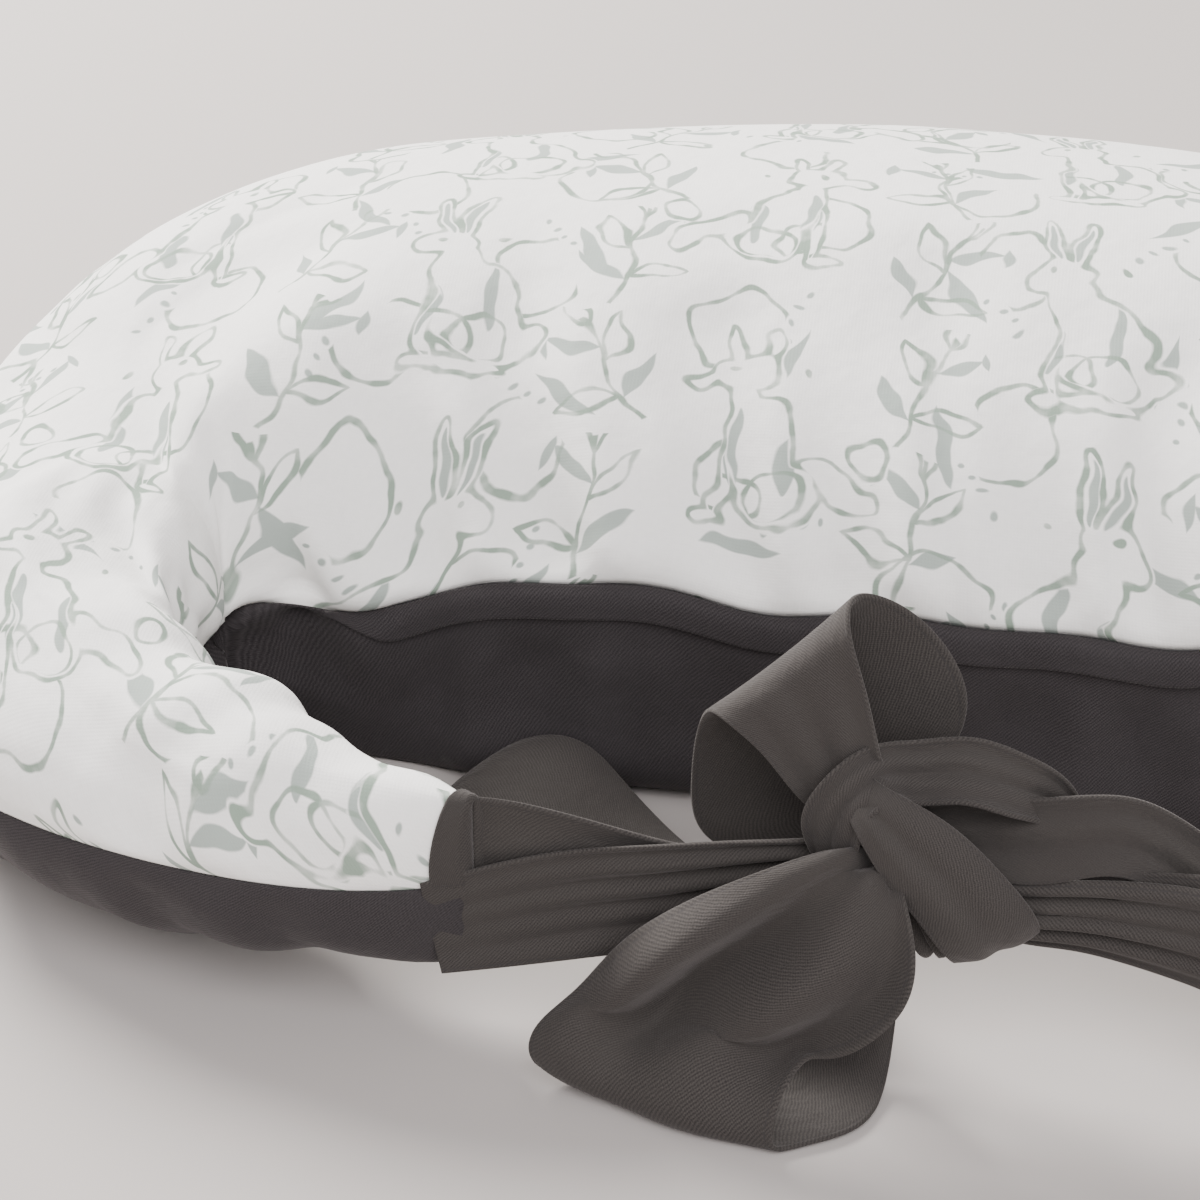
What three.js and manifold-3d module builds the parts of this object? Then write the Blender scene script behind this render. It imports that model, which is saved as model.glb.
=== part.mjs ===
// Nursing pillow: a crescent cushion in a zipped cover, closed in front by two ties in a bow.
// Millimetres, +Z up. +Y runs to the back of the crescent, and the horns and the bow are at -Y.
// The shapes are laid out from the middle of the crescent's outer oval, on the floor. The whole part
// is then moved so that the origin is at the middle of its box, on the floor.
import * as THREE from "three";
import { mergeVertices } from "three/addons/utils/BufferGeometryUtils.js";
import Module from "manifold-3d";

const wasm = await Module();
wasm.setup();

// ---- driving dimensions ----

// Outline of the crescent in plan: an outer oval and the oval of the opening.
const pillowWidth = 628; // across both sides
const backReach = 249; // outer oval, from the origin to the back
const frontReach = 182; // outer oval, from the origin to the front
const outerSquareness = 2.8; // 2 is an ellipse, more is squarer
const openingWidth = 426;
const openingBack = 12; // opening's oval, from its centre to the back wall
const openingFront = 94; // opening's oval, from its centre to the front
const openingSquareness = 2.6;
const openingCentre = -27; // Y of the centre of the opening's oval
const hornAngle = 157.4; // degrees from the back to each horn's end
const hornWidth = 42; // width of the horn before its end is closed
const hornEndWidth = 10; // width left where the tie is sewn across

// Heights at the back, at the sides and at the horns' ends.
const seamHeight = { back: 70, side: 47, tip: 53 };
const crownHeight = { back: 86, side: 66, tip: 25 }; // from the seam up to the top
const bellyDepth = { back: 70, side: 47, tip: 26 }; // from the seam down to the underside
const crownSquareness = 2.3;
const bellySquareness = { inner: 8, outer: 2 }; // the belly is boxy by the opening and round outside
const bellyFlat = { inner: 1.1, outer: 1 }; // how much deeper it is before it is flattened underneath

// Layers, from the outside in.
const coverThickness = 0.8;
const layerGap = 0.4;
const casingThickness = 0.6;
const seamGap = 0.6; // between a top panel's edge and a bottom panel's edge

// Concealed zip along the back wall of the opening.
const zipLength = 250;
const facingHeight = 10; // strip between the seam and the zip
const slotHeight = 3.4; // opening between the strip and the bottom panel
const tapeThickness = 0.6;
const tapeHeight = 6;
const coilHeight = 1.1;
const coilDepth = 1.4;
const runningGap = 0.3;
const sliderLength = 9;
const sliderHeight = 8;
const plateThickness = 1.2;
const pinRadius = 0.55;
const pullLength = 17;
const pullHeight = 5;
const pullThickness = 1;
const stopLength = 2;
const pocketDepth = 4.4; // room for the zip in front of the inner cushion

// Ties and bow.
const knotRadius = 22;
const knotCentre = new THREE.Vector3(4, -132, 61);
const knotGap = 0.5;
const tieHeight = 52; // where a tie is sewn across a horn's end

// ---- shared shapes of the crescent ----

const sweep = THREE.MathUtils.degToRad(hornAngle);
const smooth = (t) => {
  const u = Math.min(1, Math.max(0, t));
  return u * u * (3 - 2 * u);
};
const sideShare = 0.6; // share of the sweep at which the side values are reached
const endShare = 0.93; // share of the sweep at which the horn starts to close

// A value that changes from the back to the side and from the side to the tip.
function along({ back, side, tip }, s, level = 0) {
  const toSide = smooth((s - level) / (sideShare - level));
  const toTip = Math.pow(Math.max(0, (s - sideShare) / (1 - sideShare)), 1.5);
  return back + (side - back) * toSide + (tip - side) * toTip;
}

// Point of an oval with its own reach to the back and to the front.
function oval(angle, halfWidth, back, front, squareness) {
  const s = Math.sin(angle);
  const c = Math.cos(angle);
  const k = Math.pow(Math.abs(s) ** squareness + Math.abs(c) ** squareness, -1 / squareness);
  return new THREE.Vector2(halfWidth * s * k, (c > 0 ? back : front) * c * k);
}

const wallY = openingCentre + openingBack; // the straight stretch of the opening's back wall
const straightHalf = zipLength / 2 + 12;

// Outline of the opening, straight where the zip is sewn in.
function innerPoint(angle) {
  const p = oval(angle, openingWidth / 2, openingBack, openingFront, openingSquareness);
  p.y += openingCentre;
  if (Math.cos(angle) > 0) {
    const keep = smooth((Math.abs(p.x) - straightHalf) / (openingWidth / 2 - straightHalf));
    p.y = wallY + (p.y - wallY) * keep;
  }
  return p;
}

// Angle at which the opening's outline is x away from the middle.
function angleAt(x) {
  let [low, high] = [0, Math.PI / 2];
  for (let i = 0; i < 40; i++) {
    const mid = (low + high) / 2;
    if (innerPoint(mid).x < x) low = mid;
    else high = mid;
  }
  return low;
}
const levelShare = angleAt(straightHalf) / sweep; // the seam is level along the zip
const seamAt = (s) => along(seamHeight, s, levelShare);
const heightAt = (side, s) => (side > 0 ? along(crownHeight, s) : along(bellyDepth, s, levelShare));

// Cross-section of the crescent at an angle from the back: its middle, the direction to the
// outside and half its width.
function section(angle) {
  const s = Math.abs(angle) / sweep;
  const inner = innerPoint(angle);
  const outer = oval(angle, pillowWidth / 2, backReach, frontReach, outerSquareness);
  const middle = inner.clone().add(outer).multiplyScalar(0.5);
  const out = outer.clone().sub(inner);
  const full = out.length() / 2;
  out.normalize();
  const narrow = Math.pow(Math.max(0, (s - 0.72) / 0.28), 1.5);
  let half = full + (hornWidth / 2 - full) * narrow;
  const close = Math.max(0, (s - endShare) / (1 - endShare));
  half *= Math.sqrt(Math.max(0, 1 - close * close));
  return { s, middle, out, half: Math.max(half, hornEndWidth / 2) };
}

// Power of the section's curve and how deep it is before it is flattened, by the opening or outside.
function profile(side, byOpening) {
  if (side > 0) return { power: 2 / crownSquareness, flat: 1 };
  const part = byOpening ? "inner" : "outer";
  return { power: 2 / bellySquareness[part], flat: bellyFlat[part] };
}

// Point of a layer's surface. side is 1 for the crown and -1 for the belly, turn runs from 0 at the
// inner seam to pi at the outer one, inset is the depth under the cover's outer face, edge is the
// distance kept from the seam and pocket is the room left for the zip on the inner side.
function surfacePoint(angle, turn, side, inset, edge, pocket) {
  const { s, middle, out, half } = section(angle);
  const height = heightAt(side, s);
  const c = Math.cos(turn);
  const { power, flat } = profile(side, c > 0);
  const room = c > 0 ? pocket * zipRoom(angle) : 0;
  const offset = -Math.sign(c) * Math.pow(Math.abs(c), power) * (half - inset - room);
  const rise = Math.min(1, flat * Math.pow(Math.abs(Math.sin(turn)), power));
  const lift = edge + (height - inset - edge) * rise;
  return new THREE.Vector3(
    middle.x + out.x * offset,
    middle.y + out.y * offset,
    seamAt(s) + side * lift,
  );
}

// 1 along the zip, falling to 0 past its ends.
function zipRoom(angle) {
  if (Math.cos(angle) <= 0) return 0;
  return 1 - smooth((Math.abs(innerPoint(angle).x) - straightHalf) / 30);
}

// Angles of the cross-sections: some at the ends of the zip, and closer together at the horns' ends.
const zipMargin = 3; // from the zip's end to the end of its opening in the cover
const zipEnd = angleAt(zipLength / 2 + zipMargin) / sweep;
const pastZip = angleAt(zipLength / 2 + zipMargin + 2) / sweep;
const stations = [];
const zipSteps = 5;
const hornSteps = 15;
for (let i = 0; i <= zipSteps; i++) stations.push((zipEnd * i) / zipSteps);
for (let i = 0; i <= hornSteps; i++) stations.push(pastZip + ((endShare - pastZip) * i) / hornSteps);
stations.push(0.955, 0.975, 0.99, 1);
const angles = [...stations.slice(1).reverse().map((s) => -s * sweep), ...stations.map((s) => s * sweep)];

// Turns of the rows round a section, with one row just under the zip.
const turns = [0, 7, 30, 60, 90, 120, 150, 180].map((degrees) => THREE.MathUtils.degToRad(degrees));

// ---- solids ----

// Closed body between two grids of points that share their rows and columns.
function slab(front, back) {
  const rows = front.length;
  const columns = front[0].length;
  const position = [...front.flat(), ...back.flat()].flatMap((p) => [p.x, p.y, p.z]);
  const index = [];
  const quad = (a, b, c, d) => index.push(a, b, c, a, c, d);
  const at = (i, j) => i * columns + j;
  const under = rows * columns;
  for (let i = 0; i + 1 < rows; i++) {
    for (let j = 0; j + 1 < columns; j++) {
      quad(at(i, j), at(i + 1, j), at(i + 1, j + 1), at(i, j + 1));
      quad(under + at(i, j), under + at(i, j + 1), under + at(i + 1, j + 1), under + at(i + 1, j));
    }
    quad(at(i, 0), under + at(i, 0), under + at(i + 1, 0), at(i + 1, 0));
    const last = columns - 1;
    quad(at(i, last), at(i + 1, last), under + at(i + 1, last), under + at(i, last));
  }
  for (let j = 0; j + 1 < columns; j++) {
    quad(at(0, j), at(0, j + 1), under + at(0, j + 1), under + at(0, j));
    const end = rows - 1;
    quad(at(end, j), under + at(end, j), under + at(end, j + 1), at(end, j + 1));
  }
  const geometry = new THREE.BufferGeometry();
  geometry.setAttribute("position", new THREE.Float32BufferAttribute(position, 3));
  geometry.setIndex(index);
  return facingOut(geometry);
}

// Turns every face round when the body is inside out.
function facingOut(geometry) {
  const p = geometry.attributes.position;
  const index = geometry.index.array;
  const [a, b, c] = [new THREE.Vector3(), new THREE.Vector3(), new THREE.Vector3()];
  let volume = 0;
  for (let i = 0; i < index.length; i += 3) {
    a.fromBufferAttribute(p, index[i]);
    b.fromBufferAttribute(p, index[i + 1]);
    c.fromBufferAttribute(p, index[i + 2]);
    volume += a.dot(b.cross(c));
  }
  if (volume < 0) {
    for (let i = 0; i < index.length; i += 3) [index[i + 1], index[i + 2]] = [index[i + 2], index[i + 1]];
  }
  geometry.computeVertexNormals();
  return geometry;
}

// A closed geometry as a solid to join or cut, and back.
function solid(geometry) {
  const bare = geometry.clone();
  bare.deleteAttribute("normal");
  bare.deleteAttribute("uv");
  const merged = mergeVertices(bare, 1e-4);
  return new wasm.Manifold(new wasm.Mesh({
    numProp: 3,
    vertProperties: new Float32Array(merged.attributes.position.array),
    triVerts: new Uint32Array(merged.index.array),
  }));
}
function geometryOf(body) {
  const mesh = body.getMesh();
  const geometry = new THREE.BufferGeometry();
  geometry.setAttribute("position", new THREE.Float32BufferAttribute(mesh.vertProperties, 3));
  geometry.setIndex(new THREE.Uint32BufferAttribute(mesh.triVerts, 1));
  geometry.computeVertexNormals();
  return geometry;
}

// One panel of a cover or casing: a shell from the inner seam to the outer one.
function panel(side, depth, thickness, { drop = () => 0, pocket = 0, trim = 0 } = {}) {
  const used = angles.slice(trim, angles.length - trim);
  const grid = (inset) => used.map((angle) => {
    const height = heightAt(side, Math.abs(angle) / sweep) - inset;
    const { power, flat } = profile(side, true);
    const start = Math.asin(Math.pow(drop(angle) / (height * flat), 1 / power));
    return turns.map((turn) => (
      surfacePoint(angle, Math.max(turn, start), side, inset, seamGap / 2, pocket)
    ));
  });
  return slab(grid(depth), grid(depth + thickness));
}

// The filling: one body from crown to belly.
function core(depth, pocket, trim) {
  const used = angles.slice(trim, angles.length - trim);
  const grid = (side) => used.map((angle) => (
    turns.map((turn) => surfacePoint(angle, turn, side, depth, seamGap / 2, pocket))
  ));
  return slab(grid(1), grid(-1));
}

// A length of cloth. Each stop gives its middle, the half width as a vector and the half thickness.
function ribbon(stops, steps) {
  const middle = new THREE.CatmullRomCurve3(stops.map((s) => new THREE.Vector3(...s.at)), false, "centripetal");
  const across = new THREE.CatmullRomCurve3(stops.map((s) => new THREE.Vector3(...s.half)));
  const thick = new THREE.CatmullRomCurve3(stops.map((s) => new THREE.Vector3(s.thick, 0, 0)));
  const columns = [-1, -0.6, 0, 0.6, 1];
  const front = [];
  const back = [];
  for (let i = 0; i <= steps; i++) {
    const t = i / steps;
    const p = middle.getPoint(t);
    const w = across.getPoint(t);
    const h = thick.getPoint(t).x;
    const normal = middle.getTangent(t).cross(w).normalize();
    const line = (sign) => columns.map((c) => {
      const bulge = h * (0.35 + 0.65 * (1 - c * c));
      return p.clone().addScaledVector(w, c).addScaledVector(normal, sign * bulge);
    });
    front.push(line(1));
    back.push(line(-1));
  }
  return slab(front, back);
}

// ---- parts ----

const part = new THREE.Group();
const cloth = (color) => new THREE.MeshStandardMaterial({ color, roughness: 0.9, metalness: 0 });
const whiteCotton = cloth(0xe6e4df);
const darkTwill = cloth(0x3d3836);
const calico = cloth(0xefece4);
const fibre = cloth(0xf4f3f0);
const darkTape = cloth(0x34302f);
const zipNylon = new THREE.MeshStandardMaterial({ color: 0x2c2928, roughness: 0.5, metalness: 0 });
const zipMetal = new THREE.MeshStandardMaterial({ color: 0x4a4644, roughness: 0.4, metalness: 0.9 });

function add(name, geometry, material, x = 0, y = 0, z = 0) {
  const mesh = new THREE.Mesh(geometry, material);
  mesh.name = name;
  mesh.position.set(x, y, z);
  part.add(mesh);
  return mesh;
}

// Cover. The bottom panel starts below the facing strip and the zip's slot along the zip.
const slotTop = facingHeight + seamGap / 2; // below the seam
const slotMiddle = slotTop + slotHeight / 2;
const onZip = (angle) => Math.abs(angle) / sweep < (zipEnd + pastZip) / 2;
const bottomDrop = (angle) => (onZip(angle) ? slotTop + slotHeight - seamGap / 2 : 0);
add("cover_top_panel", panel(1, 0, coverThickness), whiteCotton);
add("cover_bottom_panel", panel(-1, 0, coverThickness, { drop: bottomDrop }), darkTwill);

// Inner cushion.
const casingDepth = coverThickness + layerGap;
const fillDepth = casingDepth + casingThickness + layerGap;
const inside = { pocket: pocketDepth, trim: 2 };
add("casing_top_panel", panel(1, casingDepth, casingThickness, inside), calico);
add("casing_bottom_panel", panel(-1, casingDepth, casingThickness, inside), calico);
add("fibre_filling", core(fillDepth, pocketDepth, 2), fibre);

// Facing strip between the seam and the zip, and the zip behind its slot.
const seamZ = seamHeight.back;
const zipZ = seamZ - slotMiddle;
const box = (x, y, z) => new THREE.BoxGeometry(x, y, z);
const stripLength = zipLength + 2 * (zipMargin - 0.5);
const stripZ = seamZ - seamGap / 2 - facingHeight / 2;
add("zip_facing_strip", box(stripLength, coverThickness, facingHeight), darkTwill,
  0, wallY + coverThickness / 2, stripZ);

const postThickness = 0.6;
const coilGap = postThickness + 2 * runningGap;
const coilOffset = (coilGap + coilHeight) / 2;
const tapeBack = coverThickness + 2 * runningGap; // from the wall to the tapes
const behind = wallY + tapeBack;
const tapeOffset = coilOffset + coilHeight / 2 + runningGap + tapeHeight / 2;
const tapeLength = zipLength + 2 * (runningGap + stopLength);
const stopX = zipLength / 2 + runningGap + stopLength / 2;
for (const [row, sign] of [["upper", 1], ["lower", -1]]) {
  add(`zip_tape_${row}`, box(tapeLength, tapeThickness, tapeHeight), darkTape,
    0, behind + tapeThickness / 2, zipZ + sign * tapeOffset);
  add(`zip_coil_${row}`, box(zipLength, coilDepth, coilHeight), zipNylon,
    0, behind + coilDepth / 2, zipZ + sign * coilOffset);
}
for (const [end, sign] of [["closed", 1], ["open", -1]]) {
  add(`zip_stop_${end}_end`, box(stopLength, coilDepth, coilGap + 2 * coilHeight), zipMetal,
    sign * stopX, behind + coilDepth / 2, zipZ);
}

// Slider: a plate on each side of the cover's slot, a post between the coils, and two lugs with the
// pin that the pull turns on. It stands at the closed end.
const sliderX = zipLength / 2 - sliderLength / 2 - runningGap;
const frontY = -runningGap - plateThickness / 2; // from the wall
const backY = tapeBack + coilDepth + runningGap + plateThickness / 2;
const eyeRadius = 1.55;
const eyeHeight = 3.8;
const pinY = frontY - plateThickness / 2 - eyeRadius - 0.4;
const lugThickness = 0.8;
const lugLength = 3;
const lugDepth = frontY - pinY + pinRadius + 0.5;
const placed = (geometry, x, y, z) => solid(geometry.translate(x, y, z));
const upright = (radius, height) => new THREE.CylinderGeometry(radius, radius, height, 16).rotateX(Math.PI / 2);
const lugZ = eyeHeight / 2 + runningGap + lugThickness / 2;
let slider = placed(box(sliderLength, plateThickness, sliderHeight), 0, frontY, 0)
  .add(placed(box(sliderLength, plateThickness, sliderHeight), 0, backY, 0))
  .add(placed(box(sliderLength, backY - frontY, postThickness), 0, (backY + frontY) / 2, 0))
  .add(placed(upright(pinRadius, 2 * lugZ), 0, pinY, 0));
for (const sign of [1, -1]) {
  slider = slider.add(placed(box(lugLength, lugDepth, lugThickness), 0, frontY - lugDepth / 2, sign * lugZ));
}
add("zip_slider", geometryOf(slider), zipMetal, sliderX, wallY, zipZ);

// Pull: an eye round the pin, a neck that passes between the lugs and a flat tab.
const neckLength = 4;
const neck = placed(box(neckLength, pullThickness, eyeHeight), -neckLength / 2 - 1, 0, 0);
const tabLength = pullLength - neckLength;
const tab = placed(box(tabLength, pullThickness, pullHeight), -neckLength - tabLength / 2, 0, 0);
const pull = placed(upright(eyeRadius, eyeHeight), 0, 0, 0)
  .add(neck)
  .add(tab)
  .subtract(placed(upright(pinRadius + runningGap, eyeHeight + 2), 0, 0, 0));
add("zip_pull", geometryOf(pull), zipMetal, sliderX, wallY + pinY, zipZ);

// Ties and bow. Each length of cloth ends at a sphere that is clear of the knot, so that the loops
// can swing about the knot's centre.
const round = solid(new THREE.SphereGeometry(knotRadius + knotGap, 32, 20));
const aroundKnot = round.translate(knotCentre.toArray());
const tied = (stops, steps) => geometryOf(solid(ribbon(stops, steps)).subtract(aroundKnot));
add("bow_knot", new THREE.SphereGeometry(knotRadius, 20, 12), darkTwill, ...knotCentre.toArray());

// A tie starts against the horn's end, square to it and as tall as the seam that holds it.
const hornEnd = section(sweep);
const ahead = new THREE.Vector2(hornEnd.out.y, -hornEnd.out.x); // out of the right horn's end
const fromHorn = (sign, distance, half, thick) => ({
  at: [
    sign * (hornEnd.middle.x + ahead.x * distance),
    hornEnd.middle.y + ahead.y * distance,
    seamHeight.tip - 0.5,
  ],
  half: [0, 0, half],
  thick,
});
add("tie_left", tied([
  fromHorn(-1, 0.5, tieHeight / 2 - 1, hornEndWidth / 2 - 1),
  fromHorn(-1, 8, tieHeight / 2 - 1, hornEndWidth / 2 - 2),
  { at: [-82, -145, 52], half: [0, 0, 24], thick: 2.5 },
  { at: [-60, -143, 51], half: [0, -1, 21], thick: 3.5 },
  { at: [-35, -139, 54], half: [0, -2, 15], thick: 5 },
  { at: [-10, -134, 60], half: [0, -1, 11], thick: 7 },
], 14), darkTwill);
add("tie_right", tied([
  fromHorn(1, 0.5, tieHeight / 2 - 1, hornEndWidth / 2 - 1),
  fromHorn(1, 8, tieHeight / 2 - 3, hornEndWidth / 2 - 1.5),
  { at: [82, -144, 50], half: [0, 0, 15], thick: 3.5 },
  { at: [52, -141, 48], half: [0, -1, 12], thick: 5 },
  { at: [18, -137, 50], half: [0, -2, 10], thick: 7 },
], 14), darkTwill);

add("bow_loop_upper", tied([
  { at: [-2, -134, 82], half: [8, 0, 5], thick: 2.5 },
  { at: [-19, -136, 98], half: [14, 1, 15], thick: 1.6 },
  { at: [-30, -135, 117], half: [17, 2, 18], thick: 1.4 },
  { at: [-22, -124, 124], half: [17, 2, 18], thick: 1.4 },
  { at: [-4, -113, 114], half: [17, 1, 17], thick: 1.4 },
  { at: [8, -110, 98], half: [13, 1, 13], thick: 1.6 },
  { at: [6, -120, 78], half: [8, 0, 6], thick: 2.5 },
], 20), darkTwill);
add("bow_loop_lower", tied([
  { at: [0, -146, 58], half: [8, 0, 1], thick: 3 },
  { at: [-14, -156, 51], half: [25, -2, 2], thick: 2 },
  { at: [-32, -163, 38], half: [34, -9, 3], thick: 1.6 },
  { at: [-45, -171, 23], half: [35, -12, 2], thick: 1.4 },
  { at: [-51, -176, 9], half: [35, -12, 0], thick: 1.4 },
  { at: [-44, -170, 3.5], half: [33, -12, 0], thick: 1.4 },
  { at: [-24, -158, 7], half: [24, -8, 1], thick: 1.6 },
  { at: [-4, -146, 24], half: [15, -3, 1], thick: 2 },
  { at: [3, -139, 44], half: [8, 0, 0], thick: 3 },
], 24), darkTwill);
add("tie_tail_left", tied([
  { at: [-2, -122, 56], half: [6, 7, 0], thick: 4 },
  { at: [-22, -100, 34], half: [10, 9, 0], thick: 3 },
  { at: [-50, -74, 9], half: [13, 12, 0], thick: 1.6 },
  { at: [-74, -48, 3], half: [15, 13, 0], thick: 1.4 },
  { at: [-93, -38, 4], half: [16, 12, 0], thick: 1.4 },
  { at: [-104, -31, 10], half: [18, 10, 0], thick: 1.4 },
], 16), darkTwill);
add("tie_tail_right", tied([
  { at: [14, -126, 72], half: [0, 2, 8], thick: 4 },
  { at: [34, -122, 86], half: [0, 2, 9], thick: 3 },
  { at: [62, -121, 78], half: [0, 3, 11], thick: 2 },
  { at: [92, -115, 60], half: [2, 5, 14], thick: 1.8 },
  { at: [116, -100, 30], half: [6, 10, 12], thick: 1.6 },
  { at: [128, -86, 10], half: [12, 16, 4], thick: 1.4 },
], 16), darkTwill);

// Origin at the middle of the box, on the floor.
part.updateMatrixWorld(true);
const bounds = new THREE.Box3().setFromObject(part);
const middle = bounds.getCenter(new THREE.Vector3());
part.position.set(-middle.x, -middle.y, -bounds.min.z);

export default part;
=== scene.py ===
import math

import bmesh
import bpy
import numpy as np
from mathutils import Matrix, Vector


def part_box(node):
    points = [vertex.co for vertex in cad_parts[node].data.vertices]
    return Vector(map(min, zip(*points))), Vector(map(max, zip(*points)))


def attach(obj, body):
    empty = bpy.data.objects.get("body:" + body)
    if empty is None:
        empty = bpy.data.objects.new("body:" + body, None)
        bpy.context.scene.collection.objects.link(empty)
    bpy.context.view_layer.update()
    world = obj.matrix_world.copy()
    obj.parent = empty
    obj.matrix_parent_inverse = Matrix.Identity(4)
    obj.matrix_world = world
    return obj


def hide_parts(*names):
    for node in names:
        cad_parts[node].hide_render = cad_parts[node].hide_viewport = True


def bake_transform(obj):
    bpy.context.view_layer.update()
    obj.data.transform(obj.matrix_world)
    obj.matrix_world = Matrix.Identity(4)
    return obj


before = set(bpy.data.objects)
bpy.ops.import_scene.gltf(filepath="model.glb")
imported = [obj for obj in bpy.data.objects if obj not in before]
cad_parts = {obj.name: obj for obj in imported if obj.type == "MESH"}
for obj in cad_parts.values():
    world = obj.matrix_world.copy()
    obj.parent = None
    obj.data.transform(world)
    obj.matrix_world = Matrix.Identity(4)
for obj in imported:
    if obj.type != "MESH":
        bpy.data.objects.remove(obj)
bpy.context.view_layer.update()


# ---- camera ----
# A close view from in front and above, a little to the right of the crescent's middle line.
def placed(name, data):
    """A new object in the scene."""
    made = bpy.data.objects.new(name, data)
    bpy.context.scene.collection.objects.link(made)
    return made


eye = bpy.data.cameras.new("camera")
eye.lens = 84
eye.sensor_width = 36
camera = placed("camera", eye)
camera.location = (0.034, -0.7829, 0.4893)
camera.rotation_euler = (math.radians(90 - 29.4), 0, math.radians(9.8))
bpy.context.scene.camera = camera


# ---- cover, top panel ----
# White cotton sheeting with a fine sage-green print, cut as one crescent. It is sewn to the bottom
# panel all round and blown up by the filling, so it puckers where it is pulled in along the seam.
MM = 0.001
PILLOW_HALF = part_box("cover_top_panel")[1].x / MM
BACK = 249.0
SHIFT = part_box("cover_top_panel")[1].y / MM - BACK  # the outlines are laid out from the outer oval's middle
FRONT = 182.0
OPENING_HALF, OPENING_BACK, OPENING_FRONT, OPENING_MIDDLE = 213.0, 12.0, 94.0, -27.0
HORN_ANGLE = math.radians(157.4)
HORN_WIDTH, HORN_END = 42.0, 10.0
SIDE_AT, CLOSE_AT = 0.6, 0.93
ZIP_HALF = 125.0
STRAIGHT_HALF = ZIP_HALF + 12
SEAM_HEIGHT = (70.0, 47.0, 53.0)  # at the back, at the sides and at the horns' ends
CROWN = (86.0, 66.0, 25.0)
BELLY = (70.0, 47.0, 26.0)
CREASE_AT, DIP_AT = 187.0, 168.0  # along the inner seam, from the middle of the back wall
FAR_FROM_HEM = 0.1  # metres


def smooth(t):
    t = np.clip(t, 0, 1)
    return t * t * (3 - 2 * t)


def along(values, s, level=0.0):
    back, side, tip = values
    to_tip = np.clip((s - SIDE_AT) / (1 - SIDE_AT), 0, None) ** 1.5
    return back + (side - back) * smooth((s - level) / (SIDE_AT - level)) + (tip - side) * to_tip


def oval(angle, half, back, front, squareness):
    s, c = np.sin(angle), np.cos(angle)
    k = (np.abs(s) ** squareness + np.abs(c) ** squareness) ** (-1 / squareness)
    return np.stack([half * s * k, np.where(c > 0, back, front) * c * k], -1)


def inner_outline(angle):
    p = oval(angle, OPENING_HALF, OPENING_BACK, OPENING_FRONT, 2.6)
    p[..., 1] += OPENING_MIDDLE
    wall = OPENING_MIDDLE + OPENING_BACK
    keep = smooth((np.abs(p[..., 0]) - STRAIGHT_HALF) / (OPENING_HALF - STRAIGHT_HALF))
    p[..., 1] = np.where(np.cos(angle) > 0, wall + (p[..., 1] - wall) * keep, p[..., 1])
    return p


level_angles = np.linspace(0, math.pi / 2, 2000)
LEVEL = np.interp(STRAIGHT_HALF, inner_outline(level_angles)[:, 0], level_angles) / HORN_ANGLE


def sections(angle):
    """The middle, the outward direction and half the width of the crescent at each angle."""
    s = np.abs(angle) / HORN_ANGLE
    inner, outer = inner_outline(angle), oval(angle, PILLOW_HALF, BACK, FRONT, 2.8)
    out = outer - inner
    full = np.linalg.norm(out, axis=-1) / 2
    out /= 2 * full[..., None]
    narrow = np.clip((s - 0.72) / 0.28, 0, None) ** 1.5
    half = full + (HORN_WIDTH / 2 - full) * narrow
    close = np.clip((s - CLOSE_AT) / (1 - CLOSE_AT), 0, 1)
    half = np.maximum(half * np.sqrt(1 - close * close), HORN_END / 2)
    return s, (inner + outer) / 2, out, half


def crescent(angle, turn, side, inset=0.0):
    """Points of the cushion's surface in millimetres; side is 1 for the crown, -1 for the belly, and
    turn runs from 0 at the inner seam to pi at the outer one."""
    s, middle, out, half = sections(angle)
    s, half = s[:, None], half[:, None] - inset
    height = (along(CROWN, s) if side > 0 else along(BELLY, s, LEVEL)) - inset
    c, q = np.cos(turn)[None], np.sin(turn)[None]
    power = 2 / (2.3 if side > 0 else np.where(c > 0, 8.0, 2.0))
    flat = 1.0 if side > 0 else np.where(c > 0, 1.1, 1.0)
    offset = -np.sign(c) * np.abs(c) ** power * half
    rise = np.minimum(1, flat * np.abs(q) ** power) * height
    x = middle[:, None, 0] + out[:, None, 0] * offset
    y = middle[:, None, 1] + out[:, None, 1] * offset + SHIFT
    return np.stack([x, y, along(SEAM_HEIGHT, s, LEVEL) + side * rise], -1)


def normals_of(grid):
    a = np.gradient(grid, axis=0)
    b = np.gradient(grid, axis=1)
    n = np.cross(a, b)
    return n / np.maximum(np.linalg.norm(n, axis=-1, keepdims=True), 1e-9)


def quads(rows, columns, closed=False):
    """The faces of a grid of points; closed joins each row's last point to its first."""
    i, j = np.meshgrid(np.arange(rows - 1), np.arange(columns if closed else columns - 1), indexing="ij")
    k, below = (j + 1) % columns, i + 1
    faces = [i * columns + j, i * columns + k, below * columns + k, below * columns + j]
    return np.stack(faces, -1).reshape(-1, 4)


def cloth_mesh(name, points, faces, cloth):
    """A smooth mesh from points in millimetres. Its cloth attribute holds each point's place on the
    flat cloth and its distance from a hem, in metres."""
    mesh = bpy.data.meshes.new(name)
    mesh.from_pydata((points * MM).tolist(), [], faces)
    mesh.attributes.new("cloth", "FLOAT_VECTOR", "POINT").data.foreach_set("vector", cloth.ravel())
    mesh.polygons.foreach_set("use_smooth", np.ones(len(mesh.polygons), bool))
    mesh.update()
    return placed(name, mesh)


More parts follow.
